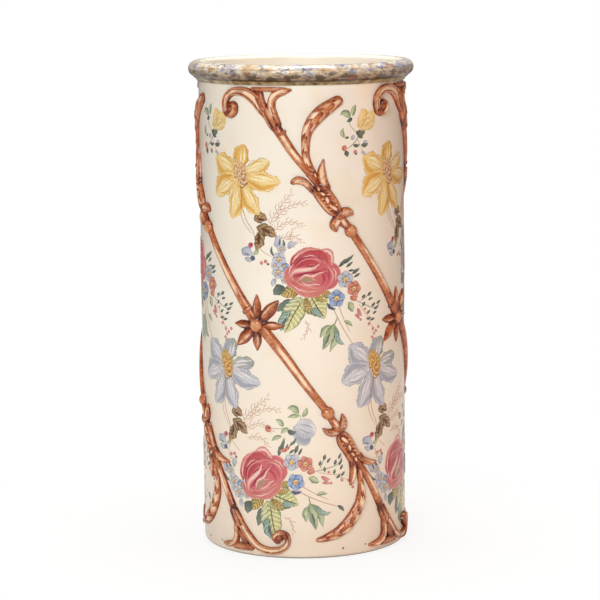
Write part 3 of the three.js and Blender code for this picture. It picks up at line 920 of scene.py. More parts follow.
@dataclass
class DaisySpray(Spray):
    """A large open flower with its stem, three brown leaves, berries and a fern.

    Attributes:
        petal_paints: paints of the petals, clockwise from the top one.
        shade_paint: paint of the shadow along each petal.
        light_paint: paint of the light along each petal.
        cone_paint: paint of the cone.
        fleck_paints: paints of the flecks on the cone.
    """

    petal_paints: tuple[str, ...] = ()
    shade_paint: str = "straw_shade"
    light_paint: str = "straw_light"
    cone_paint: str = "cone_tan"
    fleck_paints: tuple[str, str] = ("cone_cell", "cone_gap")

    PETALS = (
        # tip, width, layer, side of the shadow
        ((7, 35), 22, 0, -1),
        ((39, 17), 20, 1, 1),
        ((52, -7), 22, 2, 1),
        ((26, -45), 20.5, 4, 1),
        ((-11, -51), 22.5, 3, -1),
        ((-39, -25), 26, 2, 1),
        ((-38, 20), 27, 1, -1),
    )
    CONE = ((-7, 17), (2, 2), (8, -12))

    def __post_init__(self) -> None:
        """Draws the spray."""
        self.strokes = [*self.flower(), *self.cone(), *self.leaves(), *self.fern()]

    def flower(self) -> list[Stroke]:
        """Draws the petals, each with its shadows and its lights."""
        strokes = []
        for (tip, width, layer, side), paint in zip(self.PETALS, self.petal_paints):
            tip_u, tip_z = tip
            reach = math.hypot(tip_u, tip_z)
            across = (tip_z / reach, -tip_u / reach)
            bow = 0.06 * reach * side

            def at(share: float, aside: float) -> Pair:
                """Gives the place at a share of the petal's length and aside of its middle line."""
                bulge = bow * math.sin(math.pi * share) + aside
                return (tip_u * share + across[0] * bulge, tip_z * share + across[1] * bulge)

            base = layer * 3
            light, shade = self.light_paint, self.shade_paint
            strokes += [
                Stroke((at(0.1, 0), at(0.5, 0), at(1, 0)), width, paint, base, 0.1, form=Form.PETAL),
                Stroke((at(0.2, side * width * 0.1), at(0.6, side * width * 0.32), at(0.95, side * 1.5)),
                       width * 0.34, shade, base + 1, 0.16),
                Stroke((at(0.22, -side * width * 0.02), at(0.5, -side * width * 0.04), at(0.8, side)),
                       width * 0.17, light, base + 1, 0.2),
                Stroke((at(0.36, -side * width * 0.2), at(0.6, -side * width * 0.25), at(0.92, -side * 2)),
                       width * 0.2, light, base + 1, 0.2),
                Stroke((at(0.4, -side * width * 0.3), at(0.62, -side * width * 0.36), at(0.85, -side * 3)),
                       width * 0.12, shade, base + 1, 0.1),
                Stroke((at(0.14, 0), at(0.42, side * 0.8), at(0.72, 0)), 0.9, shade, base + 2),
            ]
        return strokes

    def cone(self) -> list[Stroke]:
        """Draws the cone, mottled all over by a spiral of small cells that grow towards its foot."""
        strokes = [Stroke(self.CONE, 17, self.cone_paint, 15, 0.08, form=Form.OVAL)]
        (top_u, top_z), middle, (foot_u, foot_z) = self.CONE
        reach = math.hypot(foot_u - top_u, foot_z - top_z)
        ahead = ((foot_u - top_u) / reach, (foot_z - top_z) / reach)
        cells = 64
        for i in range(cells):
            a = 2.4 * i
            r = math.sqrt(i / cells)
            along, aside = 0.5 * reach * r * math.cos(a), 8.0 * r * math.sin(a)
            place = (middle[0] - 1 + ahead[0] * along - ahead[1] * aside,
                     middle[1] + ahead[1] * along + ahead[0] * aside)
            size = 0.85 + 0.25 * r * math.cos(a) + 0.2 * (i % 3 == 0)
            strokes.append(dot(place, size, self.fleck_paints[i % 2], 16))
        strokes.append(Stroke(((-1, -12), (5, -15), (12, -8)), 1.3, "cone_gap", 16))
        strokes.append(Stroke(((-20, -3), (-12, -7), (-2, -12)), 1.0, self.shade_paint, 14))
        return strokes

    def leaves(self) -> list[Stroke]:
        """Draws the stem, the three brown leaves and the berries."""
        return [
            Stroke(((4, -38), (9, -52), (19, -65)), 1.1, "faint", form=Form.LINE),
            Stroke(((0, -40), (5, -54), (17, -68)), 0.9, "faint", form=Form.LINE),
            Stroke(((2, -14), (3, -26), (3, -40)), 0.8, "cone_gap", 15, form=Form.LINE),
            Stroke(((16, -60), (26, -83), (41, -93)), 0.9, "faint", form=Form.LINE),
            Stroke(((19, -51), (27, -48), (36, -50)), 13, "leaf_brown", 1, 0.12),
            Stroke(((23, -50), (33, -50)), 3.2, "umber", 2, 0.25),
            Stroke(((22, -59), (34, -62), (47, -69)), 14, "leaf_brown", 1, 0.12),
            Stroke(((27, -60), (42, -66)), 3.4, "umber", 2, 0.25),
            Stroke(((26, -63), (26, -74), (21, -86)), 13, "leaf_brown", 2, 0.12),
            Stroke(((26, -66), (24, -80)), 4.4, "umber", 3, 0.25),
            Stroke(((24, -84), (22, -88), (17, -91)), 5, "leaf_green", 1, 0.1),
            dot((14.5, -80), 3.3, "rose_bright"),
            dot((15.5, -79), 1.2, "umber", 2),
            Stroke(((3, -92), (9, -87), (17, -92)), 12, "lilac", 1, 0.15),
            Stroke(((6, -95), (12, -97), (19, -95)), 6, "grey", 1, 0.15),
            dot((17, -95), 3, "ink", 2),
            Stroke(((7, -90), (13, -91)), 1.4, "ink", 2),
            dot((28, -100), 2.2, "pink"),
            dot((33, -98), 2.2, "red"),
            dot((36, -101), 1.5, "umber"),
        ]

    def fern(self) -> list[Stroke]:
        """Draws the faint fern: four curved fronds."""
        return [
            *frond(((37, -60), (43, -47), (51, -35), (64, -20)), 9.5, "faint"),
            *frond(((45, -50), (56, -38), (68, -32), (80, -31)), 8.5, "faint"),
            *frond(((40, -66), (52, -56), (64, -52), (77, -57)), 8.5, "faint"),
            *frond(((47, -74), (58, -69), (68, -69), (76, -76)), 7.5, "faint"),
        ]


@dataclass
class RoseSpray(Spray):
    """A full rose with its leaves, clusters of small flowers, thin sprigs and a drooping bud."""

    ROSE_SIZE = 0.86

    def __post_init__(self) -> None:
        """Draws the spray."""
        self.strokes = [*self.rose(), *self.leaves(), *self.clusters(), *self.sprigs()]

    def rose(self) -> list[Stroke]:
        """Draws the rose, from its outer petals to the folds over them."""
        petals = [
            Stroke(((-30, -5), (0, -3), (30, -5)), 49, "rose_mid", 4, 0.03, form=Form.OVAL),
            Stroke(((8, 21), (16, 26), (25, 22), (28, 8)), 12, "rose_pale", 5, 0.1),
            Stroke(((12, 23), (19, 24), (24, 18), (24, 11)), 7, "rose_mid", 6, 0.1),
            Stroke(((22, 14), (32, 2), (30, -14), (18, -25)), 14, "rose_mid", 5, 0.05),
            Stroke(((-24, 10), (-31, -2), (-28, -14), (-18, -24)), 12, "rose_salmon", 5, 0.05),
            Stroke(((-28, -10), (-14, -23), (6, -27), (24, -18)), 15, "rose_salmon", 6, 0.05),
            Stroke(((-27, 5), (-20, 18), (-2, 25), (14, 23), (24, 9)), 17, "rose_deep", 7, 0.08),
            Stroke(((-24, 17), (-13, 27), (2, 31), (15, 29)), 4, "rose_soft", 8, 0.25),
            Stroke(((-23, 8), (-12, 19), (4, 22), (18, 14)), 6, "crimson", 8, 0.12),
            Stroke(((-18, 12), (-7, 17.5), (6, 17), (14, 12)), 1.3, "rose_soft", 10, 0.2),
            Stroke(((-21, 6), (-6, 14), (8, 12), (16, 7)), 9, "rose_deep", 9, 0.06),
            Stroke(((-18, 3), (-2, 8), (12, 6)), 5, "crimson", 10, 0.1),
            Stroke(((-30, -7), (-21, 2), (-8, 3.5), (4, 6), (12, 12)), 7, "rose_pale", 12, 0.08),
            Stroke(((-24, -6), (-10, -2), (6, 0), (20, 4)), 6, "crimson", 11, 0.08),
            Stroke(((-20, -9), (-8, -5), (6, -4), (17, -1)), 5, "rose_mid", 12, 0.08),
            Stroke(((12, 3), (20, -4), (21, -13), (12, -22)), 11, "rose_bright", 11, 0.06),
            Stroke(((11, 2), (16, -6), (15, -15), (8, -21)), 4.5, "rose_deep", 12, 0.1),
            Stroke(((20, 9), (28, -1), (28, -12), (21, -20)), 3.4, "rose_soft", 12, 0.2),
            Stroke(((22, 3), (24, -6), (20, -15)), 2.4, "rose_deep", 12, 0.12),
            Stroke(((-19, -12), (-9, -4), (-1, -5.5), (9, -2), (19, 1)), 3.6, "rose_pale", 13, 0.2),
            Stroke(((-2, -5), (4, -10), (9, -12)), 2.4, "rose_soft", 14, 0.15),
            Stroke(((-15, -12), (-5, -9), (3, -13)), 8.5, "taupe", 14, 0.08),
            Stroke(((-14, -13), (-4, -17), (7, -14)), 2.4, "rose_pale", 15, 0.2),
            Stroke(((-20, -20), (-4, -26), (14, -23)), 3, "rose_soft", 8, 0.2),
            Stroke(((-26, 12), (-20, 21), (-10, 27)), 2.6, "rose_pale", 9, 0.3),
            Stroke(((-30, -3), (-28, 5), (-23, 12)), 2.6, "rose_pale", 9, 0.3),
            Stroke(((-27, -15), (-17, -23), (-5, -26.5)), 2, "rose_pale", 9, 0.3),
            Stroke(((28, 6), (33, -2), (32, -13)), 2.6, "rose_pale", 9, 0.3),
            Stroke(((-12, 20), (-2, 22.5), (8, 21)), 1.6, "rose_pale", 10, 0.3),
            Stroke(((-2, -18), (8, -16), (16, -21)), 1.8, "rose_pale", 10, 0.3),
            Stroke(((-23, -9), (-12, -17), (5, -19)), 2.4, "rose_soft", 8, 0.2),
        ]
        return [scaled(petal, self.ROSE_SIZE) for petal in petals]

    def leaves(self) -> list[Stroke]:
        """Draws the striped leaves under the rose and the green leaves on the lower stem."""
        return [
            Stroke(((-30, -18), (-37, -20), (-44, -26)), 12, "leaf_dark", 1, 0.12),
            Stroke(((-12, -20), (-23, -22), (-35, -27)), 15, "leaf_ochre", 2, 0.1),
            Stroke(((-18, -33), (-29, -37), (-41, -45)), 11, "leaf_dark", 2, 0.08),
            Stroke(((-12, -28), (-22, -48), (-31, -70)), 26, "leaf_lime", 3, 0.05),
            Stroke(((-24, -44), (-33, -54), (-36, -68)), 10, "leaf_teal", 4, 0.1),
            Stroke(((-29, -52), (-33, -60), (-34, -67)), 3.6, "leaf_dark", 5, 0.2),
            Stroke(((-12, -34), (-22, -51), (-30, -68)), 1.1, "umber", 5, form=Form.LINE),
            Stroke(((-3, -20), (5, -36), (15, -54)), 26, "leaf_lime", 1, 0.05),
            Stroke(((-7, -29), (-6, -40), (3, -48)), 12, "leaf_ochre", 3, 0.12),
            Stroke(((-2, -42), (6, -46), (12, -51)), 8, "leaf_teal", 4, 0.15),
            Stroke(((3, -26), (9, -31), (17, -34)), 7, "leaf_ochre", 3, 0.1),
            Stroke(((-1, -28), (6, -40), (14, -52)), 1.1, "umber", 5, form=Form.LINE),
            Stroke(((10, -23), (18, -26), (25, -31)), 8, "leaf_ochre", 2, 0.1),
            Stroke(((22, -36), (35, -63), (50, -87)), 1.2, "faint", form=Form.LINE),
            Stroke(((31, -38), (38, -56), (46, -72)), 1.0, "faint", form=Form.LINE),
            Stroke(((49, -84), (51, -89), (51, -95)), 4.4, "leaf_dark", 1),
            Stroke(((30, -53), (24, -66), (16, -76)), 1.0, "leaf_dark", form=Form.LINE),
            Stroke(((26, -60), (20, -74), (12, -90)), 11, "leaf_green", 2, 0.08),
            Stroke(((27, -62), (28, -76), (20, -93)), 8, "leaf_green", 1, 0.08),
            Stroke(((22, -62), (15, -66), (9, -76)), 7, "leaf_green", 1, 0.08),
            Stroke(((21, -70), (17, -80), (13, -88)), 2.4, "leaf_dark", 3, 0.2),
            Stroke(((27, -65), (31, -80), (39, -85)), 6.5, "leaf_teal", 2, 0.08),
            Stroke(((38, -58), (44, -60), (49, -65)), 4.5, "leaf_green", 1),
        ]

    def clusters(self) -> list[Stroke]:
        """Draws the small round flowers that crowd both sides of the rose."""
        strokes = []
        for at, radius, paint, layer in (
            ((-37, 15), 8.5, "lilac", 6), ((-38, 0), 8.0, "grey", 3), ((-31, 7), 6.0, "blue", 1),
            ((-34, 27), 6.0, "grey", 2), ((-42, 8), 5.0, "lilac", 0), ((-30, -8), 6.0, "grey", 0),
            ((40, -10), 10.5, "lilac", 4), ((29, -31), 10.5, "blue", 10), ((51, -21), 9.5, "red", 6),
        ):
            strokes += blossom(at, radius, paint, layer)
        return strokes + [
            Stroke(((-37, 26), (-39, 34), (-36, 43)), 8, "lilac", 1, 0.2),
            Stroke(((-36, 28), (-36, 36), (-35, 40)), 2, "ink", 2),
            Stroke(((-31, 27), (-31, 33), (-32, 38)), 3, "leaf_dark", 2),
            Stroke(((-26, 27), (-23, 32), (-15, 34)), 7, "grey", 1, 0.2),
            Stroke(((-41, -7), (-44, -12), (-45, -17)), 6, "grey", 1, 0.2),
            Stroke(((-43, 18), (-46, 24), (-45, 30)), 3, "leaf_dark", 1),
            Stroke(((46, -30), (51, -33), (56, -30)), 6, "red", 5, 0.15),
            Stroke(((18, -36), (22, -42), (28, -43)), 4, "ink", 9, 0.2),
        ]

    def sprigs(self) -> list[Stroke]:
        """Draws the thin sprigs of tiny leaves and buds round the spray."""
        leaflets = [
            ((32, 5), (42, 14), 4.5), ((38, 8), (51, 18), 4.0), ((41, 4), (50, 10), 3.2),
            ((44, 0), (52, 0), 3.0), ((49, -4), (59, 2), 4.0), ((51, -8), (60, -4), 3.0),
            ((62, -33), (67, -29), 3.6), ((66, -38), (62, -43), 3.4), ((70, -31), (76, -27), 3.8),
            ((71, -36), (78, -34), 3.0), ((76, -44), (82, -40), 3.6), ((80, -48), (88, -44), 3.2),
            ((84, -42), (91, -38), 3.0), ((69, -52), (74, -48), 3.4), ((68, -58), (75, -57), 3.4),
            ((74, -60), (81, -58), 3.2), ((78, -53), (84, -50), 3.0),
        ]
        strokes = [Stroke((a, b), w, "leaf_dark", 1, 0.15) for a, b, w in leaflets]
        strokes += [
            Stroke(((24, 2), (38, 8), (50, 16)), 0.7, "leaf_dark", form=Form.LINE),
            Stroke(((42, -6), (52, -3), (58, 0)), 0.7, "leaf_dark", form=Form.LINE),
            Stroke(((52, -34), (64, -40), (80, -46), (90, -42)), 0.7, "leaf_dark", form=Form.LINE),
            Stroke(((56, -38), (68, -52), (80, -60)), 0.7, "faint", form=Form.LINE),
            Stroke(((60, -36), (68, -32), (75, -28)), 0.7, "leaf_dark", form=Form.LINE),
            Stroke(((68, -54), (76, -66), (80, -80)), 0.7, "faint", form=Form.LINE),
            Stroke(((44, -36), (47, -42), (50, -48)), 8, "leaf_green", 1, 0.2),
            *frond(((-18, 28), (-24, 40), (-20, 50)), 5, "faint"),
            *frond(((-8, -54), (-4, -64), (-10, -76)), 6, "faint"),
            Stroke(((56, -44), (58, -50), (62, -54)), 5, "pink", 1, 0.1),
            Stroke(((52, -51), (56, -54), (59, -58)), 4, "pink", 1, 0.1),
        ]
        for at in ((78, -70), (83, -73), (87, -69), (77, -80), (72, -64)):
            strokes.append(dot(at, 2.0, "pink"))
        for at in ((60, -58), (66, -46), (80, -76)):
            strokes.append(dot(at, 1.6, "red"))
        return strokes


@dataclass
class BudSpray(Spray):
    """A yellow bud over a sprig of small leaves and berries."""

    def __post_init__(self) -> None:
        """Draws the spray about the middle of the bud."""
        self.strokes = [
            Stroke(((-9, -9), (-2, 3), (-5, 13)), 15, "straw", 1, 0.06, form=Form.PETAL),
            Stroke(((-6, -10), (6, 0), (13, 9)), 17, "straw", 2, 0.06, form=Form.PETAL),
            Stroke(((-8, -10), (1, -5), (13, -7)), 14, "pale_straw", 3, 0.06, form=Form.PETAL),
            Stroke(((-8, -9), (0, 0), (2, 8)), 2, "amber", 4),
            Stroke(((-4, -8), (6, -3), (11, -1)), 1.6, "amber", 4),
            Stroke(((-13, -13), (-8, -15), (0, -13)), 8, "leaf_dark", 3, 0.1),
            Stroke(((-11, -15), (-7, -19), (-3, -20)), 4.5, "leaf_dark", 2),
            Stroke(((-20, 4), (-27, 9), (-33, 7)), 8, "leaf_green", 1, 0.05),
            Stroke(((-17, 5), (-16, 12), (-13, 18)), 6, "leaf_green", 1, 0.05),
            Stroke(((-18, 3), (-22, 0), (-25, -1)), 4.5, "leaf_dark", 2),
            Stroke(((-28, -19), (-31, -13), (-29, -8)), 5, "leaf_green", 1),
            Stroke(((-19, -22), (-17, -19), (-14, -17)), 5, "grey", 1),
            Stroke(((-27, -20), (-25, -19), (-22, -19)), 3, "leaf_dark", 2),
            dot((-28, -31), 3.4, "red"),
            Stroke(((-27, -34), (-25, -38), (-24, -41)), 6, "leaf_dark", 2),
            Stroke(((-17, -28), (-12, -29), (-8, -28)), 4.2, "leaf_dark", 1),
            Stroke(((-6, -28), (-1, -29), (4, -27)), 5, "leaf_dark", 1),
            dot((0, -26), 3, "lilac", 0),
            dot((-14, -36), 2.6, "pink"),
            dot((-13, -38), 1.3, "umber", 2),
            Stroke(((-6, -36), (-2, -38), (2, -40)), 4, "grey", 1),
            Stroke(((-8, -14), (-14, -24), (-24, -32)), 0.8, "leaf_dark", form=Form.LINE),
            Stroke(((-10, -16), (-20, -6), (-22, 4)), 0.8, "leaf_green", form=Form.LINE),
            Stroke(((-12, -20), (-8, -28), (-2, -38)), 0.7, "faint", form=Form.LINE),
        ]


@dataclass
class RosebudSpray(Spray):
    """A closed lilac rosebud with pale leaves, berries and red buds."""

    def __post_init__(self) -> None:
        """Draws the spray about the middle of the rosebud."""
        self.strokes = [
            Stroke(((-10, 6), (-2, -11), (8, -9)), 15, "bloom_shadow", 1, 0.05, form=Form.PETAL),
            Stroke(((-11, 4), (0, 0), (13, -4)), 18, "bloom_blue", 2, 0.05, form=Form.PETAL),
            Stroke(((-9, 7), (3, 9), (13, 3)), 10, "bloom_blue", 3, 0.05),
            Stroke(((-7, 3), (3, -2), (11, -4)), 2.4, "bloom_shadow", 4),
            Stroke(((-6, 8), (4, 6), (12, 2)), 1.8, "bloom_shadow", 4),
            Stroke(((6, 9), (11, 4), (12, -4)), 6, "bloom_light", 4, 0.1),
            Stroke(((-19, 0), (-14, -3), (-9, -1)), 6, "leaf_dark", 3),
            Stroke(((-6, 20), (-12, 26), (-19, 26)), 8, "leaf_green", 1, 0.05),
            Stroke(((-5, 17), (-12, 17), (-19, 15)), 5, "leaf_green", 1),
            Stroke(((-2, 16), (2, 21), (3, 27)), 5.5, "leaf_green", 1),
            Stroke(((-4, 10), (-4, 16), (-7, 21)), 0.8, "leaf_green", form=Form.LINE),
            Stroke(((-24, 4), (-28, 10), (-33, 12)), 6, "leaf_green", 1),
            Stroke(((-18, 3), (-23, 0), (-27, -4)), 5, "leaf_green", 1),
            Stroke(((-26, -7), (-33, -9), (-38, -13)), 5, "leaf_green", 1),
            Stroke(((-12, 0), (-24, 2), (-38, 1)), 0.8, "leaf_green", form=Form.LINE),
            dot((-42, 1), 4, "red"),
            dot((-41, 2), 1.4, "umber", 2),
            Stroke(((-14, -13), (-18, -20), (-25, -24)), 1.2, "leaf_dark", form=Form.LINE),
            Stroke(((-21, -21), (-25, -24), (-29, -24)), 4.5, "red", 2),
            Stroke(((-17, -19), (-20, -22), (-24, -21)), 3.6, "red", 2),
            Stroke(((-9, -9), (-12, -14), (-16, -18)), 3, "leaf_dark", 1),
        ]


# The relief


class Section(Enum):
    """The form of a pressed strip from side to side, and where it is painted pale: partly slip wiped thin,
    partly painted highlight.
    """

    ROD = "rod"
    RIBBON = "ribbon"
    LEAF = "leaf"
    HORN = "horn"
    PETAL = "petal"
    STRAP = "strap"
    SHEATH = "sheath"
    HUSK = "husk"
    POD = "pod"

    def heights(self, along: np.ndarray, across: np.ndarray) -> np.ndarray:
        """Gives the share of the relief at each point.

        Args:
            along: shares of the length, as a column.
            across: shares of the half width, as a row.

        Returns:
            A table of shares from 0 at the wall to about 1.
        """
        side = np.abs(across)
        round_back = (1 - side**2.6) ** 0.6
        if self is Section.RIBBON:
            rims = np.exp(-(((side - 0.7) / 0.19) ** 2))
            return (1 - side**7) ** 0.7 * (0.56 + 0.44 * rims) + 0 * along
        if self is Section.LEAF:
            furrow = 1 - 0.34 * np.exp(-((across / 0.2) ** 2))
            ripple = 1 + 0.07 * np.cos(2 * math.pi * (6 * along - 0.8 * side))
            return (1 - side**3.4) ** 0.65 * furrow * ripple
        if self is Section.HORN:
            scale, _ = self.scales(along, across)
            return round_back * (0.64 + 0.36 * (1 - scale) ** 0.6)
        if self is Section.PETAL:
            return (1 - side**1.25) ** 0.9 * (1 - 0.1 * np.sin(math.pi * along)) + 0 * along
        if self is Section.STRAP:
            return (1 - side**5) ** 0.6 + 0 * along
        if self is Section.SHEATH:
            grooves = np.exp(-(((side - 0.36 - 0.1 * along) / 0.13) ** 2))
            return (1 - side**5) ** 0.6 * (1 - 0.4 * grooves)
        if self is Section.HUSK:
            ribs = np.exp(-(((side - 0.7) / 0.24) ** 2))
            scales = np.cos(2 * math.pi * (5.5 * along + 1.4 * across)) * np.exp(-((side / 0.5) ** 4))
            return (1 - side**8) ** 0.7 * (0.62 + 0.38 * ribs + 0.12 * scales)
        if self is Section.POD:
            return (1 - side**2.2) ** 0.5 + 0 * along
        return round_back + 0 * along

    def scales(self, along: np.ndarray, across: np.ndarray) -> tuple[np.ndarray, np.ndarray]:
        """Places each point on the overlapping scales of the horn.

        Args:
            along: shares of the length, as a column.
            across: shares of the half width, as a row.

        Returns:
            How far down its scale each point lies, and a share that differs from scale to scale.
        """
        row = 1.0 * (across > -0.3) + 1.0 * (across > 0.35)
        run = 7.3 * along + 0.5 * np.abs(across) + 0.37 * row
        chance = np.abs(np.sin(12.9898 * np.floor(run + 1e-6) + 4.1 * row)) % 1
        return run % 1, chance

    def glows(self, along: np.ndarray, across: np.ndarray) -> np.ndarray:
        """Gives how pale the slip is painted at each point, partly as slip wiped thin, partly as painted
        highlight.

        Args:
            along: shares of the length, as a column.
            across: shares of the half width, as a row.

        Returns:
            A table of shares, 1 where the slip is painted palest.
        """
        side = np.abs(across)
        if self is Section.RIBBON:
            return np.exp(-((across / 0.42) ** 4)) + 0 * along
        if self is Section.LEAF:
            return np.exp(-(((across + 0.12) / 0.42) ** 4)) * np.clip(np.sin(math.pi * along) * 1.3, 0, 0.9)
        if self is Section.HORN:
            scale, chance = self.scales(along, across)
            flake = np.clip(1.6 - 3.4 * np.abs(scale - 0.3), 0, 1) * np.clip(1.7 * chance - 0.3, 0.05, 1)
            return flake * np.clip(0.85 - 0.5 * across, 0, 1) * (1 - side**4)
        if self is Section.PETAL:
            # Painted highlight: a pale streak down the left side of each petal's ridge, as if lit from that
            # side
            return 0.9 * np.exp(-(((across + 0.34) / 0.24) ** 2)) * np.sin(math.pi * along) ** 0.6
        if self is Section.STRAP:
            return 0.5 * np.exp(-((across / 0.4) ** 2)) + 0 * along
        if self is Section.SHEATH:
            return 0.75 * np.exp(-(((across - 0.1) / 0.2) ** 2)) * along
        if self is Section.HUSK:
            hatch = np.clip(np.cos(2 * math.pi * (9 * along + 1.2 * across)), 0, 1)
            hatched = 0.9 * hatch * np.exp(-(((side - 0.42) / 0.15) ** 2))
            return hatched + 0.6 * np.exp(-(((across + 0.74) / 0.1) ** 2)) + 0 * along
        if self is Section.POD:
            # Pods: palest in the middle towards their root, partly pale clay and partly a painted glaze
            # highlight
            return np.clip(1.5 - 2.2 * side, 0, 1) * np.clip(1.6 - 1.3 * along, 0, 1)
        # Rods: a broad pale band a little to one side of the middle, partly slip wiped thin and partly
        # painted highlight
        return 1.1 * np.exp(-(((across + 0.14) / 0.4) ** 4)) + 0 * along


@dataclass(frozen=True)
class Strip:
    """A strip of clay.

    Attributes:
        stations: place, width and relief at points along it.
        section: its form from side to side.
        dark: how thickly the slip lies at its first and its last end.
        pale: share of its length where a rod is painted palest, partly slip wiped thin, partly painted
            highlight.
    """

    stations: tuple[Station, ...]
    section: Section = Section.STRAP
    dark: Pair = (0.9, 0.0)
    pale: float = 0.47

    ROW = 0.9  # millimetres from row to row
    COLUMNS = 19
    THINNEST = 0.02
    SLIP_REACH = 9.0  # millimetres from an end over which its slip lies thicker
    PALE_REACH = 0.25  # share of the length on each side of the pale stretch of a rod

    def lay(self) -> bpy.types.Object:
        """Presses the strip on the bench as a sheet, open at its back."""
        length = length_of(self.stations)
        rows = int(length / self.ROW) + 6
        table = smooth_rows(list(self.stations), rows)
        line, width, relief = table[:, :2], table[:, 2], table[:, 3]
        along = np.linspace(0, 1, rows)
        to_end = np.minimum(along, 1 - along) * length
        rounding = np.sqrt(np.clip(1 - (1 - np.clip(to_end / (0.42 * width), 0, 1)) ** 2, 0.04, 1))
        across = np.linspace(-1, 1, self.COLUMNS)
        places = spread_across(line, (width * rounding / 2)[:, None], across)
        share = self.section.heights(along[:, None], across[None, :])
        lift = share * (relief * (0.35 + 0.65 * rounding))[:, None]
        from_start, from_end = along * length / self.SLIP_REACH, (1 - along) * length / self.SLIP_REACH
        shade = (self.dark[0] * np.exp(-(from_start**2)) + self.dark[1] * np.exp(-(from_end**2)))[:, None]
        glow = self.section.glows(along[:, None], across[None, :]) * (1 - np.clip(shade, 0, 1))
        # Painted highlight with slip wiped thin: a rod is palest about this share of its length
        if self.section is Section.ROD:
            wiped = np.exp(-(((along - self.pale) / self.PALE_REACH) ** 4))
            glow = glow * (0.12 + 0.88 * wiped)[:, None]
        brush = np.dstack(np.broadcast_arrays(glow, shade, 0.0))
        return grid_piece(places, np.maximum(lift, self.THINNEST), brush)


@dataclass(frozen=True)
class Boss:
    """A domed button of clay.

    Attributes:
        at: place of its middle.
        radius: its radius.
        relief: its height.
        glow: strength of a painted highlight on a spot up and to the left of its middle, where the light
            falls.
        shade: how thickly the slip lies all over it.
    """

    at: Pair
    radius: float
    relief: float
    glow: float = 0.0
    shade: float = 0.0

    def lay(self, base: float) -> bpy.types.Object:
        """Presses the boss on the bench and cuts its back flat.

        Args:
            base: height of the back, in millimetres.

        Returns:
            A closed dome.
        """
        bpy.ops.mesh.primitive_uv_sphere_add(segments=32, ring_count=16, radius=self.radius * MM)
        piece = bpy.context.object
        piece.data.transform(Matrix.Scale(self.relief / self.radius, 4, (0, 0, 1)))
        points = points_of(piece)
        # Painted highlight: a pale spot up and to the left of the middle
        reach = np.hypot(points[:, 0] + 0.3 * self.radius * MM, points[:, 1] - 0.3 * self.radius * MM)
        glow = self.glow * np.clip(1.15 - reach / (0.62 * self.radius * MM), 0, 1)
        set_attribute(piece, BRUSH, np.column_stack(np.broadcast_arrays(glow, self.shade, 0.0)))
        move_points(piece, points + np.array([self.at[0] * MM, self.at[1] * MM, 0]))
        floor = (0, 0, base * MM)
        with editing(piece):
            bpy.ops.mesh.bisect(plane_co=floor, plane_no=(0, 0, 1), use_fill=True, clear_inner=True)
        return piece


Part = Strip | Boss


@dataclass(frozen=True)
class HalfStem:
    """The sprigs between the rosette and one end of a stem, as stations: place, width and relief.

    Attributes:
        rod, neck, bed, curl, branch, sheath, bar: the strips of those names.
        collar: ring across the rod, or nothing.
        bead: place and radius.
        calyx: its two lobes.
        leaf_left, leaf_right: the leaves at the end of the bed.
        pods: the ends of the row of pods on the bed.
        branch_pale: share of the branch's length where it is painted palest, partly slip wiped thin, partly
            painted highlight.
        rings: rings across the branch.
        scroll_arm, middle_arm, side_arm: the arms that the sheath forks into.
        eye: the end of the scroll's arm, rolled up.
    """

    rod: tuple[Station, ...]
    collar: tuple[Station, ...]
    bead: tuple[float, float, float]
    neck: tuple[Station, ...]
    calyx: tuple[tuple[Station, ...], ...]
    bed: tuple[Station, ...]
    leaf_left: tuple[Station, ...]
    leaf_right: tuple[Station, ...]
    pods: tuple[Pair, Pair]
    curl: tuple[Station, ...]
    branch: tuple[Station, ...]
    branch_pale: float
    rings: tuple[tuple[Station, ...], ...]
    sheath: tuple[Station, ...]
    scroll_arm: tuple[Station, ...]
    eye: tuple[Station, ...]
    middle_arm: tuple[Station, ...]
    side_arm: tuple[Station, ...]
    bar: tuple[Station, ...]


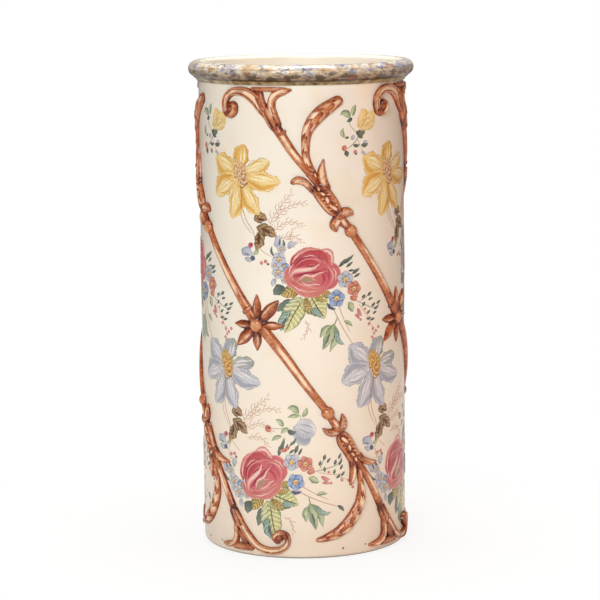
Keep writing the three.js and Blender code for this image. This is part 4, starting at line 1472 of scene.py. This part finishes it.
UPPER = HalfStem(
    rod=((-80, 385, 9.5, 4), (-38, 327, 10.5, 4.2), (-2, 277, 13, 4.8)),
    collar=((-17.8, 285.8, 4.5, 3), (-12, 290, 5, 6.2), (-6.2, 294.2, 4.5, 3)),
    bead=(-77, 380.5, 7.7),
    neck=((-78, 383, 9, 5), (-86, 391, 11, 5), (-93, 400, 8, 4.5)),
    calyx=(((-87, 398, 6, 4), (-93.5, 394, 12, 5), (-97, 387.5, 12, 4.8), (-95, 380, 3, 2.5)),
           ((-93, 397, 6, 4), (-86.5, 401.5, 12, 5), (-79.5, 402, 11, 4.8), (-73.5, 399, 3, 2.5))),
    bed=((-92, 399, 12, 4.6), (-98.5, 408, 19, 5), (-105, 417, 21, 5), (-112.5, 426.5, 19.5, 5),
         (-119, 434.5, 16, 4.6)),
    leaf_left=((-119, 425, 7, 5), (-130, 437, 9, 4.6), (-139, 440, 9.5, 4.2), (-147, 436.5, 5, 2.5)),
    leaf_right=((-104, 427, 9, 5), (-110, 439, 11.5, 4.6), (-111.5, 451, 9.5, 4.2), (-109, 464, 1.5, 1.5)),
    pods=((-95, 403), (-119, 435)),
    curl=((-114.5, 434, 4.5, 3.5), (-119, 446, 5.5, 3.5), (-126, 458, 8.5, 4.5), (-129, 467, 9.5, 4.5),
          (-129.5, 476, 10, 4.5), (-129, 487, 11, 5), (-126.5, 497, 13, 5.5), (-120.5, 507, 16, 6),
          (-111, 516.5, 17, 6), (-101.5, 523, 15.5, 5.5), (-93, 528, 13.5, 4.8), (-86.5, 531, 11.5, 4.2)),
    branch=((-165, 503, 12, 4.4), (-157.5, 492, 11.5, 4.6), (-143, 470, 10.5, 4.4), (-127, 450, 9.5, 4.2),
            (-118.5, 438, 8, 4), (-113, 430, 6, 3.6)),
    branch_pale=0.32,
    rings=(((-162.5, 489.5, 3.5, 3), (-156.5, 493, 5, 5.6), (-151, 496.5, 3.5, 3)),
           ((-129, 444.5, 3.5, 3), (-123.5, 447.5, 5, 5.4), (-118, 451, 3.5, 3))),
    sheath=((-160, 495, 11, 4.6), (-164, 503, 15.5, 5.2), (-168.5, 512, 17, 5.4), (-174, 523, 18, 4.8)),
    scroll_arm=((-170, 510, 9, 5), (-178.5, 520, 13, 5), (-186, 530, 15, 5.2), (-197, 537.5, 13, 5),
                (-208, 540, 10.5, 5), (-218.5, 538.5, 10, 5), (-226.5, 532, 9.5, 5),
                (-228.8, 523, 8.5, 4.8), (-226, 515, 8.5, 4.8), (-219, 513, 10, 5.5)),
    eye=((-227, 517, 8, 4.8), (-221, 512.5, 8, 5.6), (-214.5, 516.5, 7.5, 6.2), (-214, 523.5, 7, 6),
         (-219, 525.5, 6, 5.4), (-221.5, 521.5, 4.5, 5)),
    middle_arm=((-175, 518, 8, 4.6), (-179, 527, 9.5, 4.6), (-182, 535, 11, 4.4), (-182, 542, 10, 3.4)),
    side_arm=((-163, 503, 9, 4.6), (-165, 513, 10, 4.8), (-167.5, 522, 9.5, 4.8), (-167, 531, 10, 4.8),
              (-161.5, 537.5, 10, 4.6), (-153, 540.5, 8.5, 4.2), (-144, 542, 2, 1.5)),
    bar=((-193, 542.8, 4.5, 3.2), (-172, 542.6, 5.5, 3.6), (-151, 542.4, 5.5, 3.2)),
)

LOWER = HalfStem(
    rod=((5, 272, 13, 5), (31, 240.5, 12.5, 4.8), (56, 206, 10.5, 4.2), (85, 168, 9, 4)),
    collar=(),
    bead=(82, 171.5, 7.8),
    neck=((83, 169, 8, 4.5), (90, 159, 10, 5), (96, 149, 8, 4.5)),
    calyx=(((92, 151, 6, 4), (98.5, 154, 10, 4.8), (100.5, 161, 9, 4.6), (99, 170, 2.5, 2.5)),
           ((96, 150, 6, 4), (88.5, 148.5, 10, 4.8), (81.5, 149.5, 8, 4.4), (75.5, 154, 2, 2.5))),
    bed=((95.5, 148, 12, 4.6), (101.5, 138.5, 19, 5), (108.5, 127, 18.5, 5), (115, 116, 17.5, 5),
         (119, 108.5, 13, 4.6)),
    leaf_left=((110, 115, 7, 5), (112.3, 104, 8.5, 4.6), (111.5, 94, 8, 4.2), (109, 84, 2.5, 1.5)),
    leaf_right=((119, 122, 7, 5), (125, 114.5, 8, 4.8), (134, 109.5, 8, 4.4), (147, 108, 3, 2)),
    pods=((98, 145), (117.5, 110)),
    curl=((117.5, 112, 6, 3.5), (120.5, 104, 7, 3.5), (121.5, 95, 7.5, 4.5), (122.8, 86, 8, 4.5),
          (123.5, 75, 11.5, 5), (121, 62.5, 13.5, 5.5), (114, 50, 15, 5.8), (104.5, 38.5, 15.5, 5.8),
          (92.5, 30, 13, 5.5), (79.5, 25, 9.5, 4.5), (67, 22, 4.5, 3)),
    branch=((117, 114, 7, 3.8), (123, 105.5, 8.5, 4), (131, 94, 9, 4.2), (139, 80, 9, 4.4),
            (146, 67, 9.5, 4.4), (153, 54, 10.5, 4.4)),
    branch_pale=0.5,
    rings=(),
    sheath=((151, 57, 10.5, 4.6), (156, 47.5, 13, 5), (160.5, 40, 14, 5), (163, 33, 13, 4.6)),
    scroll_arm=((157, 50, 8, 4.8), (163, 40.5, 8.5, 4.8), (170, 31, 9, 4.8), (177.5, 22, 9.5, 4.8),
                (186, 14, 9, 4.8), (196, 10.2, 8.5, 4.8), (206, 9.6, 8.5, 4.8), (216, 12, 8.5, 4.8),
                (222.5, 19.5, 8, 4.8), (221.5, 28, 8, 4.8), (214.5, 30.5, 9.5, 5.5)),
    eye=((222.5, 24, 7.5, 4.8), (218, 30.5, 7, 5.4), (211, 30.5, 6.5, 6), (207.5, 25.5, 6.5, 6),
         (210.5, 21, 6, 5.6), (215, 21.5, 4.5, 5)),
    middle_arm=((163, 31, 7, 4), (168, 22, 8.5, 4.2), (172, 13, 9, 4)),
    side_arm=((158, 44, 7, 4.6), (157.5, 34, 7.5, 4.6), (158, 25, 8, 4.6), (155.5, 16.5, 8.5, 4.6),
              (149, 12, 8, 4.4), (141, 10.5, 6.5, 3.8), (133, 10.3, 2, 1.5)),
    bar=((152, 10.5, 8, 3.8), (166, 11, 9, 4), (182, 11, 8, 3.8)),
)


@dataclass
class Stems:
    """The four slanting stems, each a run of sprigs pressed flat and laid on the wall.

    Attributes:
        rosette_up: height of the middle of the rosette.
        disc_radius, disc_relief: size of the dark disc under the rosette's boss.
        boss_radius, boss_relief: size of the boss itself. The beads stand as high.
        petals: angle in degrees, length and width of each petal of the rosette.
        petal_form: share of a petal's length, share of its width, and relief, at points along it.
        pod_sizes: length and width of each pod, from the calyx.
        pod_lean: how far each pod leans from the row, one to the left, the next to the right.
        pod_gap: gap between pods.
        voxel: grain of the clay when the strips of a sprig are fused, in millimetres.
        back: height of the back of a sprig, a little inside the wall.
        finish: the slip on every sprig.
    """

    rosette_up: float = 273.0
    disc_radius: float = 12.5
    disc_relief: float = 3.2
    boss_radius: float = 8.5
    boss_relief: float = 7.0
    petals: tuple[tuple[float, float, float], ...] = (
        (90, 36, 11.5), (-90, 30, 12), (48, 40, 14.5), (-138, 38, 14.5), (0, 33, 10.5), (180, 31, 10.5),
    )
    petal_form: tuple[tuple[float, float, float], ...] = (
        (0.1, 0.6, 4), (0.34, 0.85, 4.4), (0.62, 1, 4), (0.84, 0.58, 2.8), (1, 0.12, 1.2),
    )
    pod_sizes: tuple[Pair, ...] = ((12, 7), (8.5, 6.4), (7, 5.4), (6, 4.6))
    pod_lean: float = 0.34
    pod_gap: float = 1.0
    voxel: float = 0.7
    back: float = -0.6
    finish: bpy.types.Material = field(default_factory=brown_slip)

    SPREADS = 14  # rounds of averaging with the neighbours that tell crests from hollows

    def rosette(self) -> list[Part]:
        """Draws the boss on its disc and the six petals."""
        middle = (0, self.rosette_up)
        parts: list[Part] = [
            Boss(middle, self.disc_radius, self.disc_relief, 0.0, 0.9),
            Boss(middle, self.boss_radius, self.boss_relief, 0.5),
        ]
        for angle, length, width in self.petals:
            stations = tuple(
                (*place_from(middle, share * length, math.radians(angle)), wide * width, relief)
                for share, wide, relief in self.petal_form
            )
            parts.append(Strip(stations, Section.PETAL, (1.1, 0.2)))
        return parts

    def rod(self, half: HalfStem) -> list[Part]:
        """Draws a rod, with a collar across it where the half stem has one."""
        parts: list[Part] = [Strip(half.rod, Section.ROD, (0.8, 0.8))]
        if half.collar:
            parts.append(Strip(half.collar, Section.STRAP))
        return parts

    def bead(self, half: HalfStem) -> list[Part]:
        """Draws the bead at the far end of a rod."""
        around, up, radius = half.bead
        return [Boss((around, up), radius, self.boss_relief, 0.4)]

    def husk(self, half: HalfStem) -> list[Part]:
        """Draws the neck, the calyx leaves, and the ribbed bed with its pods and two leaves."""
        parts: list[Part] = [
            Strip(half.neck, Section.ROD, (0.6, 0.3)),
            *(Strip(lobe, Section.LEAF, (0.3, 0.2)) for lobe in half.calyx),
            Strip(half.bed, Section.HUSK, (0.5, 0.6)),
            Strip(half.leaf_left, Section.LEAF),
            Strip(half.leaf_right, Section.LEAF),
        ]
        first, last = half.pods
        heading = math.atan2(last[1] - first[1], last[0] - first[0])
        start = self.pod_gap
        for i, (length, width) in enumerate(self.pod_sizes):
            lean = heading + self.pod_lean * (-1) ** i
            middle = place_from(first, start + length / 2, heading)
            root, tip = (place_from(middle, side * length / 2, lean) for side in (-1, 1))
            parts.append(Strip((
                (*root, width * 0.8, 4.6), (*middle, width, 5.6), (*tip, width * 0.6, 4.4),
            ), Section.POD, (0.0, 0.0)))
            start += length + self.pod_gap
        return parts

    def curl(self, half: HalfStem) -> list[Part]:
        """Draws the scaled horn that curls out of the husk."""
        return [Strip(half.curl, Section.HORN, (1.6, 0.2))]

    def branch(self, half: HalfStem) -> list[Part]:
        """Draws the stem that runs on past the husk."""
        rings = [Strip(ring, Section.STRAP, (0.4, 0.4)) for ring in half.rings]
        return [Strip(half.branch, Section.ROD, (0.9, 0.9), half.branch_pale), *rings]

    def scroll(self, half: HalfStem) -> list[Part]:
        """Draws the sheath that forks into an arm rolled up at its end, and two more arms."""
        middle = np.mean([station[:2] for station in half.eye[1:]], axis=0)
        return [
            Boss(tuple(middle), 6.0, 5.6, 0.0, 0.5),
            Strip(half.sheath, Section.SHEATH, (1.2, 0.0)),
            Strip(half.scroll_arm, Section.RIBBON, (0.6, 0.9)),
            Strip(half.eye, Section.ROD, (0.9, 1.2)),
            Strip(half.middle_arm, Section.STRAP, (0.3, 0.7)),
            Strip(half.side_arm, Section.LEAF, (0.3, 0.0)),
            Strip(half.bar, Section.STRAP, (0.3, 0.3)),
        ]

    def crest_of(self, piece: bpy.types.Object) -> np.ndarray:
        """Tells crests from hollows by how a vertex stands over the mean of those round it.

        Args:
            piece: a sprig on the bench.

        Returns:
            A share for each vertex, 0 in a hollow, 1 on a crest.
        """
        edges = np.empty(len(piece.data.edges) * 2, dtype=int)
        piece.data.edges.foreach_get("vertices", edges)
        ends = edges.reshape(-1, 2)
        lift = points_of(piece)[:, 2] / MM
        count = np.bincount(edges, minlength=len(lift))
        mean = lift.copy()
        for _ in range(self.SPREADS):
            total = sum(np.bincount(one, mean[other], len(lift)) for one, other in (ends.T, ends.T[::-1]))
            mean = total / count
        # Lower points also come out darker: the slip shows this as painted shade in hollows and low parts
        return np.clip(0.42 + 0.42 * (lift - mean) + 0.045 * (lift - 2.5), 0, 1)

    def press(self, name: str, parts: list[Part]) -> bpy.types.Object:
        """Fuses the parts of a sprig into one smooth body and bends it round the wall.

        Args:
            name: name of the sprig.
            parts: its strips and bosses.

        Returns:
            The sprig on the wall, as if its stem's rosette stood at the middle of the front.
        """
        strips = [part.lay() for part in parts if isinstance(part, Strip)]
        bodies = [part.lay(self.back) for part in parts if isinstance(part, Boss)]
        if strips:
            sheet = join(strips, name)
            thicken_down(sheet, self.back)
            bodies.insert(0, sheet)
        sprig = join(bodies, name)
        sprig.data.remesh_voxel_size = self.voxel * MM
        sprig.data.use_remesh_preserve_attributes = True
        bpy.ops.object.voxel_remesh()
        apply_modifier(sprig, "SMOOTH", factor=0.5, iterations=2)
        set_attribute(sprig, CREST, self.crest_of(sprig))
        wrap_on_wall(sprig)
        select_only(sprig)
        bpy.ops.object.shade_smooth()
        sprig.data.materials.clear()
        sprig.data.materials.append(self.finish)
        return sprig

    def build(self) -> None:
        """Makes every sprig once and lays its copies on the four stems."""
        sprigs = {"rosette": self.rosette()}
        for side, half in (("upper", UPPER), ("lower", LOWER)):
            for part in (self.rod, self.bead, self.husk, self.curl, self.branch, self.scroll):
                sprigs[f"{side}_{part.__name__}"] = part(half)
        first = Matrix.Rotation(FIRST_STEM_AROUND / WALL_RADIUS, 4, "Z")
        for name, parts in sprigs.items():
            sprig = self.press(name, parts)
            sprig.data.transform(first)
            nodes = [f"stem{i + 1}_{name}" for i in range(STEM_COUNT)]
            for piece, node in zip(copy_round(sprig, [f"{node}_fired" for node in nodes]), nodes):
                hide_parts(node)
                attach(piece, "root")
            log.info("%s: %d faces", name, len(sprig.data.polygons))


# The pot


@dataclass
class Pot:
    """The thrown pot: wall, floor and rolled rim, each drawn as a half section.

    Attributes:
        wall_thickness: thickness of the wall.
        foot_round: radius that rounds the wall into its underside.
        foot_ring: width of the ring that it stands on.
        floor_chamfer: how far the floor's upper edge is cut back.
        roll_radius: radius of the roll.
        lip_round: radius that rounds the rim into the mouth.
        cove: places under the roll, out from the wall and up from the foot of the rim.
        segments: how many steps go round.
        seam: gap between two pieces that touch.
    """

    wall_thickness: float = 8.5
    foot_round: float = 6.0
    foot_ring: float = 17.0
    floor_chamfer: float = 2.0
    roll_radius: float = 9.0
    lip_round: float = 4.0
    cove: tuple[Pair, ...] = ((1.6, 0), (2.4, 2.0), (4.6, 3.6))
    segments: int = 256
    seam: float = 0.3

    def arc(self, centre: Pair, radius: float, start: float, end: float, steps: int) -> list[Pair]:
        """Draws an arc.

        Args:
            centre: radius and height of its centre.
            radius: its radius.
            start: first angle in degrees.
            end: last angle in degrees.
            steps: how many chords it has.

        Returns:
            Points of radius and height.
        """
        angles = np.radians(np.linspace(start, end, steps + 1))
        return [place_from(centre, radius, a) for a in angles]

    def spun(self, name: str, outline: list[Pair]) -> bpy.types.Object:
        """Spins a closed outline round the axis of the pot.

        Args:
            name: name of the piece.
            outline: points of radius and height.

        Returns:
            A closed body.
        """
        bpy.ops.mesh.primitive_circle_add(vertices=len(outline), radius=MM)
        piece = bpy.context.object
        move_points(piece, np.array([(r, 0, z) for r, z in outline]) * MM)
        with editing(piece):
            bpy.ops.mesh.spin(steps=self.segments, angle=2 * math.pi, center=(0, 0, 0), axis=(0, 0, 1))
            bpy.ops.mesh.select_all(action="SELECT")
            bpy.ops.mesh.remove_doubles(threshold=0.01 * MM)
            bpy.ops.mesh.normals_make_consistent(inside=False)
        bpy.ops.object.shade_smooth_by_angle(angle=math.radians(50))
        piece.name = name
        return piece

    def wall(self) -> bpy.types.Object:
        """Makes the straight wall on its rounded foot, with the ledge that carries the floor."""
        bore = WALL_RADIUS - self.wall_thickness
        recess = WALL_RADIUS - self.foot_ring
        ledge = FLOOR_BOTTOM - self.seam
        outline = [
            (recess + 1, 0),
            *self.arc((WALL_RADIUS - self.foot_round, self.foot_round), self.foot_round, -90, 0, 12),
            (WALL_RADIUS, WALL_TOP),
            (bore, WALL_TOP),
            (bore, ledge),
            (recess, ledge),
            (recess, 1),
        ]
        return self.spun("wall_fired", outline)

    def floor(self) -> bpy.types.Object:
        """Makes the floor slab: a disc with a softened upper edge."""
        depth = (FLOOR_TOP - FLOOR_BOTTOM) * MM
        bpy.ops.mesh.primitive_cylinder_add(
            vertices=self.segments, radius=FLOOR_RADIUS * MM, depth=depth,
            location=(0, 0, FLOOR_BOTTOM * MM + depth / 2),
        )
        piece = bpy.context.object
        bpy.ops.object.transform_apply(location=True, rotation=False, scale=False)
        with editing(piece):
            bpy.ops.mesh.select_all(action="DESELECT")
        points = points_of(piece)
        for edge in piece.data.edges:
            edge.select = all(points[v][2] > (FLOOR_TOP - 0.1) * MM for v in edge.vertices)
        bpy.context.tool_settings.mesh_select_mode = (False, True, False)
        bpy.ops.object.mode_set(mode="EDIT")
        bpy.ops.mesh.bevel(offset=self.floor_chamfer * MM, segments=5)
        bpy.ops.object.mode_set(mode="OBJECT")
        bpy.context.tool_settings.mesh_select_mode = (True, False, False)
        bpy.ops.object.shade_smooth_by_angle(angle=math.radians(40))
        piece.name = "floor_fired"
        return piece

    def rim(self) -> bpy.types.Object:
        """Makes the rim: a cove, the roll over it and a rounded lip, rebated over the wall."""
        roll = (RIM_RADIUS - self.roll_radius, HEIGHT - self.roll_radius)
        bore = WALL_RADIUS - self.wall_thickness
        seat = WALL_RADIUS + self.seam
        outline = [
            (seat, RIM_FOOT),
            *((WALL_RADIUS + out, RIM_FOOT + up) for out, up in self.cove),
            *self.arc(roll, self.roll_radius, -62, 90, 24),
            *self.arc((bore + self.lip_round, HEIGHT - self.lip_round), self.lip_round, 90, 180, 10),
            (bore, WALL_TOP + self.seam),
            (seat, WALL_TOP + self.seam),
        ]
        return self.spun("rim_fired", outline)

    def build(self) -> None:
        """Makes, glazes and places the three pieces of the pot."""
        cream = cream_glaze()
        for piece, node, finish, slot in (
            (self.wall(), "wall", cream, "cream_glaze"),
            (self.floor(), "floor_slab", cream, "cream_glaze"),
            (self.rim(), "rolled_rim", printed_rim(), "printed_rim"),
        ):
            piece.data.materials.clear()
            piece.data.materials.append(finish)
            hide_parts(node)
            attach(piece, "root")
            log.info("%s: %d faces", piece.name, len(piece.data.polygons))


# The studio


@dataclass(frozen=True)
class Lamp:
    """A square soft lamp.

    Attributes:
        name: its name.
        at: its place in metres.
        size: its side in metres.
        power: its power in watts.
        colour: its hex colour.
    """

    name: str
    at: tuple[float, float, float]
    size: float
    power: float
    colour: str

    def hang(self, target: Vector) -> None:
        """Adds the lamp, facing the given point."""
        data = bpy.data.lights.new(self.name, "AREA")
        data.size = self.size
        data.energy = self.power
        data.color = linear(self.colour)[:3]
        lamp = bpy.data.objects.new(self.name, data)
        lamp.location = self.at
        lamp.rotation_euler = (target - Vector(self.at)).to_track_quat("-Z", "Y").to_euler()
        bpy.context.collection.objects.link(lamp)


@dataclass
class Studio:
    """The camera at the viewer's place, soft lamps, a pale floor and a white surround.

    Attributes:
        camera_at: place of the camera in metres.
        pitch, yaw, roll: its turns down, aside and round its own axis, in radians.
        lens: its focal length in millimetres.
        middle: the point that the lamps face.
        lamps: a key lamp and a weaker one at the front, a warm one at the right and one over the mouth.
        room: strength of the plain light from all round.
        mirrored: how white the surround is in the gloss, which the dim room darkens.
        floor_radius: radius of the floor in metres.
        shadow: distances from the axis between which the shaded floor fades to white.
        least_white: how white the floor is near the foot.
    """

    camera_at: tuple[float, float, float] = (0.0, -2.881, 0.721)
    pitch: float = 0.1501
    yaw: float = -0.0012
    roll: float = -0.0094
    lens: float = 147.3
    middle: tuple[float, float, float] = (0, 0, 0.29)
    lamps: tuple[Lamp, ...] = (
        Lamp("key", (-0.75, -2.5, 1.5), 1.2, 42, "#fffefd"),
        Lamp("front", (0.1, -2.9, 1.0), 1.0, 9.5, "#fffbf6"),
        Lamp("side", (2.1, -0.7, 0.8), 1.0, 6.5, "#ff9c50"),
        Lamp("mouth", (0, 0.1, 2.2), 0.9, 39, "#fffefc"),
    )
    room: float = 0.13
    mirrored: float = 0.15
    floor_radius: float = 2.6
    shadow: Pair = (0.13, 0.5)
    least_white: float = 0.85

    def camera(self) -> None:
        """Sets the camera."""
        forward = Vector((
            math.sin(self.yaw) * math.cos(self.pitch),
            math.cos(self.yaw) * math.cos(self.pitch),
            -math.sin(self.pitch),
        ))
        level = Vector((math.cos(self.yaw), -math.sin(self.yaw), 0))
        upright = level.cross(forward)
        right = level * math.cos(self.roll) + upright * math.sin(self.roll)
        up = upright * math.cos(self.roll) - level * math.sin(self.roll)
        data = bpy.data.cameras.new("viewer")
        data.lens = self.lens
        data.sensor_width = 36
        data.clip_end = 50
        camera = bpy.data.objects.new("viewer", data)
        turn = Matrix((right, up, -forward)).transposed().to_4x4()
        camera.matrix_world = Matrix.Translation(self.camera_at) @ turn
        bpy.context.collection.objects.link(camera)
        bpy.context.scene.camera = camera

    def surround(self) -> None:
        """Makes the surround white to the eye and a plain soft light to the pot."""
        world = bpy.data.worlds.new("white_surround")
        bpy.context.scene.world = world
        world.use_nodes = True
        tree = world.node_tree
        tree.nodes.clear()
        seen = self.seen_share(tree)
        light = add_node(tree, "ShaderNodeBackground", {}, {
            "Color": linear("#fff2e0"), "Strength": self.room,
        })
        white = add_node(tree, "ShaderNodeBackground", {}, {"Color": (1, 1, 1, 1), "Strength": 1.0})
        mix = add_node(tree, "ShaderNodeMixShader", {}, {0: seen, 1: light.outputs[0], 2: white.outputs[0]})
        add_node(tree, "ShaderNodeOutputWorld", {}, {"Surface": mix.outputs[0]})

    def seen_share(self, tree: bpy.types.NodeTree) -> bpy.types.NodeSocket:
        """Gives 1 on the camera's own rays and a part on glossy rays."""
        path = add_node(tree, "ShaderNodeLightPath", {}, {})
        seen = add_node(tree, "ShaderNodeMath", {"operation": "MULTIPLY_ADD"}, {
            0: path.outputs["Is Glossy Ray"], 1: self.mirrored, 2: path.outputs["Is Camera Ray"],
        })
        return seen.outputs[0]

    def floor(self) -> None:
        """Lays a pale round floor that keeps the pot's shadow and fades to white at its edge."""
        bpy.ops.mesh.primitive_circle_add(vertices=96, radius=self.floor_radius, fill_type="NGON")
        floor = bpy.context.object
        floor.name = "studio_floor"
        material = bpy.data.materials.new("matt_white_floor")
        material.use_nodes = True
        tree = material.node_tree
        tree.nodes.clear()
        place = add_node(tree, "ShaderNodeTexCoord", {}, {})
        out = add_node(tree, "ShaderNodeVectorMath", {"operation": "LENGTH"}, {0: place.outputs["Object"]})
        fade = add_node(tree, "ShaderNodeMapRange", {"interpolation_type": "SMOOTHSTEP"}, {
            "Value": out.outputs["Value"], "From Min": self.shadow[0], "From Max": self.shadow[1],
            "To Min": self.least_white,
        })
        share = add_node(tree, "ShaderNodeMath", {"operation": "MULTIPLY"}, {
            0: fade.outputs["Result"], 1: self.seen_share(tree),
        })
        matt = add_node(tree, "ShaderNodeBsdfDiffuse", {}, {"Color": linear("#f6f4f0")})
        white = add_node(tree, "ShaderNodeEmission", {}, {"Color": (1, 1, 1, 1), "Strength": 1.0})
        mix = add_node(tree, "ShaderNodeMixShader", {}, {
            0: share.outputs[0], 1: matt.outputs[0], 2: white.outputs[0],
        })
        add_node(tree, "ShaderNodeOutputMaterial", {}, {"Surface": mix.outputs[0]})
        floor.data.materials.append(material)

    def build(self) -> None:
        """Sets up the studio."""
        self.camera()
        for lamp in self.lamps:
            lamp.hang(Vector(self.middle))
        self.surround()
        self.floor()
        bpy.context.scene.view_settings.view_transform = "Standard"


SPRAYS = (
    DaisySpray(
        "painted_yellow_flower", (-76, 445), 0.0,
        petal_paints=("amber", "pale_straw", "straw", "straw", "straw", "straw", "straw"),
    ),
    DaisySpray(
        "painted_blue_flower", (88, 222), -12.0,
        petal_paints=("sage", "sage", "bloom_blue", "bloom_blue", "bloom_blue", "bloom_blue", "bloom_blue"),
        shade_paint="bloom_shadow", light_paint="bloom_light",
        cone_paint="cone_orange", fleck_paints=("straw", "cone_gap"),
    ),
    RoseSpray("painted_upper_rose", (10, 335), 0.0),
    RoseSpray("painted_lower_rose", (-52, 98), 38.0),
    BudSpray("painted_bud", (78, 506)),
    RosebudSpray("painted_rosebud", (0, 152)),
    Spray("iron_specks", (60, 11), strokes=[dot((-15, 0), 1.2, "umber"), dot((15, 1), 1.0, "umber")]),
)


def main() -> None:
    """Builds the studio, the pot, its stems and its painting in order."""
    logging.basicConfig(level=logging.INFO, format="%(message)s")
    deselect_all()
    Studio().build()
    Pot().build()
    Stems().build()
    palette = Palette()
    for spray in SPRAYS:
        spray.build(palette)
    deselect_all()


if __name__ == "__main__":
    main()
